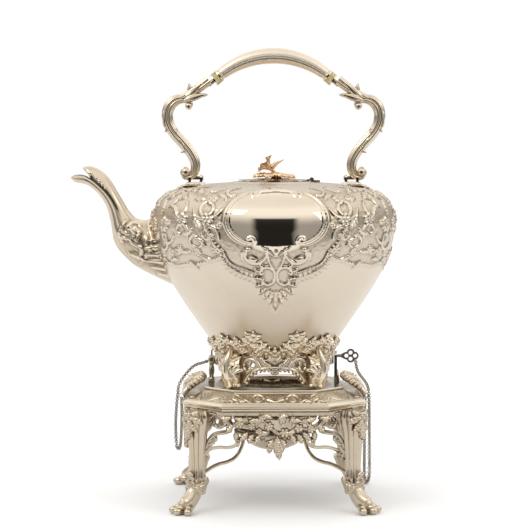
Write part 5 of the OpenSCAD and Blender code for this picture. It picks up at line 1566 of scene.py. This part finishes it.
# %% Four legs
leg = Build()
shaft_line = [(0, 0, z) for z in SHAFT[:, 1]]
sweep(leg, shaft_line, lambda i: fluted_ring(SHAFT[i, 0], SHAFT[i, 0], 64, 0.20), hollow=0.1, matt_and_shade=0.25)
foot_line = [(x, 0, z) for x, z in FOOT]
sweep(leg, foot_line, lambda i: oval(*(value_at(half, i, len(FOOT)) for half in FOOT_HALF), 40), matt_and_shade=0.2)
for degrees, far in TOES:
    c, s = heading_of(degrees)
    ball(leg, (far * c, far * s, 3.3), TOE_TIP, degrees)
    ball(leg, ((far - 5) * c, (far - 5) * s * 0.85, 5.6), TOE_BACK, degrees)
# The cuff over the paw: a flared collar with four points
a = round_turn(96)
share = np.clip((CUFF[:, 0] - 6.8) / 3.6, 0, 1)[:, None]
r = CUFF[:, 0][:, None] * (1 + 0.14 * share * np.cos(4 * a) + 0.03 * share * np.cos(16 * a))
z = CUFF[:, 1][:, None] + 1.8 * share * np.cos(4 * a)
cuff_points = np.stack([r * np.cos(a), r * np.sin(a), z], -1)
cuff_hollow = 0.6 * share * np.clip(-np.cos(16 * a), 0, 1)
leg.add(cuff_points, grid_faces(len(CUFF), len(a), wrap=True), cuff_hollow, 0.25)
for leaves, radius in ((shoulder_leaf, 10.0), (ankle_leaf, 7.4)):
    casting(leg, leaves, round_shaft(radius), thick=1.2, back=0.8, matt_and_shade=0.3)
for sign in (-1, 1):
    c, s = heading_of(180 + sign * 45)
    out = np.array([s, -c]) * sign

    def on_edge(u, v, w):
        """Stands a bracket on end, leading away from the shaft along one side of the stand."""
        return u * c + out[0] * w, u * s + out[1] * w, v

    wing = Build()
    casting(wing, bracket, on_edge, thick=1.4, back=1.0, matt_and_shade=0.3)
    if sign < 0:
        wing.inside_out()
    leg.join(wing)

for points in leg.points:
    points[:, 0] += LEG_XY * math.sqrt(2)
for index, name in enumerate(("leg_1", "leg_2", "leg_3", "leg_4")):
    leg.turned(45 + 90 * index).piece(name + "_cast", "stand", "stand", stands_for=(name,))
print("legs:", 4 * leg.count, "points")

# %% [markdown]
# ## The kettle's base
# A pierced band of scrolls and leaves hugs the foot of the body, with a shell-fronted foot at each corner.

# %% Pierced band
BAND_R = 50.5
SHEET_R = 56.0
belly_low = belly[:, 1] < 200


def on_band(u, v, w):
    """Wraps a sheet of arc length and height round the foot of the body."""
    turn = u / SHEET_R
    r_body = np.interp(v, belly[belly_low, 1], belly[belly_low, 0])
    r = np.where(v < 132, BAND_R, r_body + 1.0)
    tilt = np.clip((v - 128) / 8, 0, 1)
    r = r + w * (1 - 0.3 * tilt)
    return r * np.sin(turn), -r * np.cos(turn), v - 0.7 * tilt * w


quarter_u = SHEET_R * math.pi / 2
band = Relief((0, 106), (quarter_u, 158), 0.42)
BAND_FORM = smooth_line([
    (0, 138.6), (5, 139.2), (8.6, 143), (12.4, 150.4), (17, 153.4), (21.6, 152.2), (25.4, 146.6),
    (30, 143.8), (36, 145.4), (43, 148.4), (50, 147.6), (56, 143.6), (62, 142), (72, 142),
    (quarter_u + 1, 140.6),
], 90)
BAND_FOOT = [
    (-1, 121.6), (10, 121.2), (18, 119.6), (25, 115), (29, 108), (33, 106.4), (45, 106.4), (49, 108),
    (53, 114), (60, 118.6), (70, 120.2), (quarter_u + 1, 120.4),
]
band.fill([*BAND_FOOT, *BAND_FORM[::-1].tolist(), (-1, 138)], 0.3)
for i in range(1, 88, 6):
    along_u, along_v = BAND_FORM[i + 1] - BAND_FORM[i - 1]
    heading = math.degrees(math.atan2(along_v, along_u)) + 90
    lean = 24 if (i // 6) % 2 else -24
    stalk = BAND_FORM[i] - 6.0 * np.array(heading_of(heading))
    band.leaf(tuple(stalk), heading - lean / 2, 8.6, 6.0, 1.6, bend=lean, lobes=2)
band.scroll((12.5, 146.0), 60, 5.2, -250, 1.5, 2.0)
band.scroll((48, 144.0), 110, 5.0, 250, 1.5, 2.0)
left_hem = smooth_line([(0, 122), (10, 121.6), (18, 120), (25, 115.8), (29.6, 109)], 40)
band.stroke(left_hem, 1.2, 1.2, 0.2)
beading = smooth_line([(1, 120.6), (10, 120.4), (17, 118.8), (23, 115.4), (27.6, 108.6)], 40)
band.lobes(beading, 4.2, 3.9, 1.3)
right_hem = smooth_line([(48.4, 109), (53, 115.8), (60, 120), (70, 121.6), (quarter_u + 1, 122)], 40)
band.stroke(right_hem, 1.2, 1.2, 0.2)
band.shell((0, 121), -90, 5.4, 160, 1.7, ribs=7)
band.shell((0, 126), 90, 9.6, 130, 1.8, ribs=7)
for bends, count, half, raised in (
    ([(5, 124), (10, 126.4), (13, 132), (11, 138), (6, 139.4), (3.6, 136)], 40, [1.2, 1.9, 1.4], 1.9),
    ([(46, 149), (43, 145.6), (38, 143.6), (33.4, 139.6), (28, 136.6), (23, 138), (21.6, 142), (24, 144.6),
      (26.6, 142.6)], 60, [1.6, 2.4, 2.4, 1.5], 2.4),
    ([(14, 123), (18, 128), (24, 130), (29.6, 127.6), (31.4, 122.6), (28, 119), (24.6, 121)], 46,
     [1.3, 2.0, 1.5], 2.0),
    ([(84, 136), (78, 139.6), (71, 138), (66, 132.6), (60, 130.6), (56.4, 134), (58.6, 137.6),
      (61, 135.6)], 50, [1.6, 2.2, 2.2, 1.4], 2.0),
):
    band.stroke(smooth_line(bends, count), half, raised, 0.3)
band.leaf((15, 134), 70, 16, 8.5, 1.8, bend=-15, lobes=5)
band.leaf((30, 139), 60, 11, 7, 1.7, bend=25)
band.leaf((50, 140), 100, 11, 8, 1.7)
band.leaf((17, 131.4), 20, 11, 6, 1.5, bend=25)
band.flower((19, 134.6), 3.4, 2.2)
band.leaf((64, 138), 80, 9, 7, 1.6, bend=15)
band.leaf((76, 128), 100, 12, 7, 1.6)
band.scroll((74, 122.5), 20, 4.5, 240, 1.4, 1.6)
band.scroll((59, 121), 60, 4.5, -240, 1.4, 1.6)
# The largest hole, at the side, lets the lock pin in
for x, z, size in (
    (8.6, 131.5, 1.5), (21.6, 124.6, 2.0), (34.0, 132.0, 1.6), (13.0, 145, 1.0), (66, 125.4, 1.8),
    (quarter_u, 127.3, 4.4), (15.4, 118.8, 0.9),
):
    band.pierce((x, z), size)
band = band.mirrored()

half_band = Build()
casting(half_band, band, on_band, thick=1.2, back=0.5, matt_and_shade=0.3)
print("half of the band:", half_band.count, "points")

# %% [markdown]
# Each foot is a bent strip with a shell laid down its outer side. It stops just above the deck.

# %% Feet of the kettle
FOOT_PATH = smooth_line(
    [(49.5, 138), (54.5, 133), (59.0, 126.0), (60.4, 119), (59.0, 112), (56.8, 108.0), (56.2, 105.4)], 44
)
FOOT_WIDE = ([6.0, 8.4, 9.0, 8.6, 7.6, 8.2, 8.6], [1.4, 2.0, 2.4, 2.6, 3.0, 3.4, 1.6])
foot_shell = Relief((-14, -4), (14, 36), 0.35)
foot_side = [(7.6, 0), (8.6, 6), (8, 12), (9, 20), (8, 28), (3, 33)]
foot_shell.fill([(-7.6, 0), *foot_side, *((-u, v) for u, v in foot_side[:0:-1])], 0.5)
foot_shell.shell((0, 8.5), 90, 15.5, 130, 1.7, ribs=7)
foot_shell.drop((0, 8.0), 90, 12, 8.4, 2.6)
collar = smooth_line([(-6, 2.4), (-7.4, 8), (-5.6, 13.4), (0, 15.4), (5.6, 13.4), (7.4, 8), (6, 2.4)], 40)
foot_shell.stroke(collar, 1.3, 1.9, 0.2)
foot_shell.lobes([(-7.4, 1.2), (7.4, 1.2)], 3.6, 3.0, 1.6)
for sign in (-1, 1):
    foot_shell.scroll((sign * 8, 18), 90 + sign * 10, 4.4, sign * 220, 1.4, 1.9)
    foot_shell.leaf((sign * 2, 22), 90 - sign * 30, 10, 6, 1.5, bend=-sign * 30)
path_run = run_of(FOOT_PATH[::-1])


def on_foot(u, v, w):
    """Lays a sheet down the outer side of a foot, which stands on the -Y side of the centre line."""
    r = np.interp(v, path_run, FOOT_PATH[::-1, 0])
    z = np.interp(v, path_run, FOOT_PATH[::-1, 1])
    return u, -(r + 2.0 + w - 0.03 * u**2), z


def foot_ring(i):
    """A section of a kettle foot, whose two half widths change down its length."""
    return oval(*(value_at(half, i, len(FOOT_PATH)) for half in FOOT_WIDE), 32)


one_foot = Build()
sweep(one_foot, [(0, -r, z) for r, z in FOOT_PATH], foot_ring, up=(1, 0.001, 0), matt_and_shade=0.2)
for points in one_foot.points:
    points[:, 2] = np.maximum(points[:, 2], DECK_Z + 0.35)
casting(one_foot, foot_shell, on_foot, thick=1.0, back=1.0, matt_and_shade=0.3)

base = Build()
for degrees in (0, 180):
    base.join(half_band.turned(degrees))
base.piece("kettle_band_pierced", "cast", "kettle", stands_for=("kettle_band",))
for index, degrees in enumerate((90 + 50, 270 - 50, 270 + 50, 90 - 50)):
    name = f"kettle_foot_{index + 1}"
    one_foot.turned(degrees).piece(name + "_cast", "cast", "kettle", stands_for=(name,))
print("base:", base.count + 4 * one_foot.count, "points")

# %% [markdown]
# ## Lid, finial and handle sockets
# The finial is a trumpet flower on a curling stem over a spray of leaves.

# %% Finial
LID_TOP = DOME_Z + 0.2 + 1.1 + 1.6


def tilted(points, lean, turn, at):
    """Points of a form on the Z axis, leant over by `lean` degrees towards `turn`, and moved to `at`."""
    a, b = math.radians(lean), math.radians(turn)
    over = np.array([[math.cos(a), 0, math.sin(a)], [0, 1, 0], [-math.sin(a), 0, math.cos(a)]])
    around = np.array([[math.cos(b), -math.sin(b), 0], [math.sin(b), math.cos(b), 0], [0, 0, 1]])
    return np.asarray(points) @ (around @ over).T + np.array(at, float)


def taper(radius, loss, sides):
    """Round sections that lose a little of their radius at each step."""
    return lambda i: oval(radius - loss * i, radius - loss * i, sides)


finial = Build()
TRUMPET = smooth_line(
    [(1.0, 0), (1.8, 2.0), (2.8, 4.2), (4.0, 6.6), (5.6, 8.8), (7.6, 10.2), (8.8, 10.4)], 30
)
for inner in (False, True):
    a = round_turn(60)
    share = (TRUMPET[:, 1] / TRUMPET[-1, 1])[:, None] ** 3
    r = TRUMPET[:, 0][:, None] * (1 + 0.24 * share * np.cos(5 * a)[None, :]) - (0.45 if inner else 0)
    z = TRUMPET[:, 1][:, None] - 1.4 * share * np.cos(5 * a)[None, :] + (0.35 if inner else 0)
    points = np.stack([r * np.cos(a), r * np.sin(a), z + 0 * a], -1)
    finial.add(tilted(points, -52, 0, (-0.6, 0, LID_TOP + 6.6)), grid_faces(30, 60, wrap=True, flip=inner),
               0.5 if inner else 0.1, 0.3)
stem = smooth_line([(3.4, 0), (2.6, 2.4), (1.0, 5), (-1.6, 7.6)], 26)
sweep(finial, [(x, 0, LID_TOP + z) for x, z in stem], taper(1.9, 0.01, 16), matt_and_shade=0.3)
curl = smooth_line([(-1.5, 9.5), (2.0, 12.6), (5.4, 14.4), (9.4, 16.4)], 20)
sweep(finial, [(x, 0, LID_TOP + z) for x, z in curl], taper(2.6, 0.12, 12), matt_and_shade=0.2)
spray = Relief((-1, -7), (20, 7), 0.35)
spray.leaf((0, 0), 0, 16.5, 8.5, 1.4, lobes=5)
for turn, length, lean in (
    (0, 1.15, 0.05), (42, 0.85, 0.12), (100, 0.8, 0.2), (150, 0.95, 0.1), (190, 1.1, 0.16), (240, 0.9, 0.1),
    (300, 0.85, 0.2), (335, 0.95, 0.1),
):
    c, s = heading_of(turn)

    def lay(u, v, w):
        """A leaf that rises from the lid, bends over and dips again at its tip."""
        far = u * length
        up = LID_TOP + 1.2 + 10 * lean * np.sin(np.clip(u / 16.5, 0, 1) * np.pi * 0.9) - 0.05 * far + w
        return c * far - s * v, s * far + c * v, up
    casting(finial, spray, lay, thick=1.0, back=0.7, matt_and_shade=0.3)
ball(finial, (2.5, 0, LID_TOP + 1.6), (5.4, 5.0, 2.6), lowest=LID_TOP - 0.4)
finial.piece("finial_flower", "gilt", "lid", slot="gilt", stands_for=("lid_finial",))
print("finial:", finial.count, "points")

# %% [markdown]
# A low flare of lobes lies on the shoulder under the curl of each arm, clear of the arm when it swings.

# %% Sockets
FLARE_X, FLARE_LOBES, FLARE_FALL = 69.0, 4.5, 0.0625
flare = smooth_line(
    [(13.4, 278.9), (11.6, 279.9), (9.4, 280.3), (7.6, 280.5), (6.6, 280.7), (6.0, 280.6)], 40
)
for hand, name in ((-1, "socket_left"), (1, "socket_right")):
    socket = Build()
    a = round_turn(96)
    lobe = np.abs(np.cos(FLARE_LOBES * a))
    share = np.clip((flare[:, 0] - 6.5) / 6, 0, 1)[:, None]
    r = flare[:, 0][:, None] * (1 + 0.13 * share * lobe - 0.06 * share)
    fall = FLARE_FALL * np.clip(r * np.cos(a), 0, None)
    z = flare[:, 1][:, None] + 0.5 * share * lobe - fall
    points = np.stack([hand * (FLARE_X + r * np.cos(a)), r * np.sin(a), z], -1)
    dark = np.clip(0.9 * share * (1 - lobe**0.6), 0, 1)
    socket.add(points, grid_faces(len(flare), 96, wrap=True, flip=hand < 0), dark, 0.2)
    socket.piece(name + "_leaves", "cast", "kettle")
print("both sockets are on")

# %% [markdown]
# Four S-shaped wires hold the burner's ring. They are a little stouter than the ring.

# %% Burner's stays
STAY_R = 1.6
stays = Build()
bow = smooth_line([
    (37.4, 60.6), (38.0, 56.0), (40.2, 50.4), (44.2, 45.2), (50.4, 41.0), (59.4, 39.0), (68.0, 38.4),
    (78.0, 36.2), (90.0, 31.4),
], 48)
for turn in (45, 135, 225, 315):
    c, s = heading_of(turn)
    line = [(r * c, r * s, z) for r, z in bow]
    sweep(stays, line, lambda i: oval(STAY_R, STAY_R, 14), up=(-s, c, 0.001), matt_and_shade=0.2)
stays.piece("burner_stays_round", "cast", "stand", slot="dark_silver", stands_for=("burner_stays",))
print("stays:", stays.count, "points")

# %% [markdown]
# Two turned posts on one foot carry the pin on which the kettle tilts. Each ends in an eye for the pin.

# %% Hinge posts
HINGE_X, HINGE_Z, POST_Y, POST_HALF = -55.0, 125.0, 6.9, 1.95
POST = smooth_line([
    (2.7, 107), (2.5, 107.8), (1.7, 109), (1.65, 110.2), (2.3, 112.4), (2.65, 114.6), (2.2, 117.2),
    (1.65, 119.4), (1.7, 120.2), (2.5, 121), (2.5, 121.8), (1.7, 122.6), (1.7, 125),
], 60)
# Rows of (radius, distance from the middle of the post) round the rim of an eye
POST_EYE = np.array([
    (1.62, -1.9), (2.6, -1.95), (2.95, -1.5), (2.75, 0), (2.95, 1.5), (2.6, 1.95), (1.62, 1.9), (1.62, -1.9)
])


def post_ring(i):
    """A round section of a post, planed flat on the two sides that face along the pin."""
    return np.clip(oval(POST[i, 0], POST[i, 0], 40), [-3, -POST_HALF], [3, POST_HALF])


posts = Build()
eye_turn = round_turn(48)
for y in (-POST_Y, POST_Y):
    sweep(posts, [(HINGE_X, y, z) for z in POST[:, 1]], post_ring, up=(0, 1, 0.001), matt_and_shade=0.3)
    eye_x = HINGE_X + np.outer(POST_EYE[:, 0], np.cos(eye_turn))
    eye_z = HINGE_Z + np.outer(POST_EYE[:, 0], np.sin(eye_turn))
    eye_y = np.broadcast_to(y + POST_EYE[:, 1:], eye_x.shape)
    posts.add(np.stack([eye_x, eye_y, eye_z], -1), grid_faces(len(POST_EYE), 48, wrap=True), 0.1, 0.3)


def soft_box(half_a, half_b, count=40, power=0.3):
    """A rounded oblong, as rows of (sideways, upwards)."""
    corner_points = oval(1, 1, count)
    return [half_a, half_b] * np.sign(corner_points) * np.abs(corner_points) ** power


plinth = [(HINGE_X, y, 105.5) for y in (-8.9, -8.7, 0, 8.7, 8.9)]
plinth_halves = [(2.4, 1.2), (2.75, 1.55), (2.75, 1.55), (2.75, 1.55), (2.4, 1.2)]
sweep(posts, plinth, lambda i: soft_box(*plinth_halves[i]), up=(0, 0, 1), matt_and_shade=0.3)
posts.piece("tilt_posts_turned", "stand", "stand", stands_for=("tilt_posts",))
print("posts:", posts.count, "points")

# %% [markdown]
# ## Finishing
# The solids that still show get a metal too.

# %% Solids that stay
LOOKS = {"silver": "plain", "dark_silver": "dark", "gilt": "gilt", "ivory": "ivory", "cotton": "cotton"}
slots = {part["node"]: part["material_slot"] for part in frame["record"]["subparts"]}
shown = [name for name, thing in nodes.items() if not thing.hide_render]
for name in shown:
    look = MATERIALS.get(LOOKS[slots[name]], MATERIALS["plain"])
    thing = nodes[name]
    thing.data.materials.clear()
    thing.data.materials.append(look)
print(len(shown), "solids still show:", ", ".join(shown))

# %% [markdown]
# The view stays plain.

# %% View
bpy.context.scene.view_settings.view_transform = "Standard"
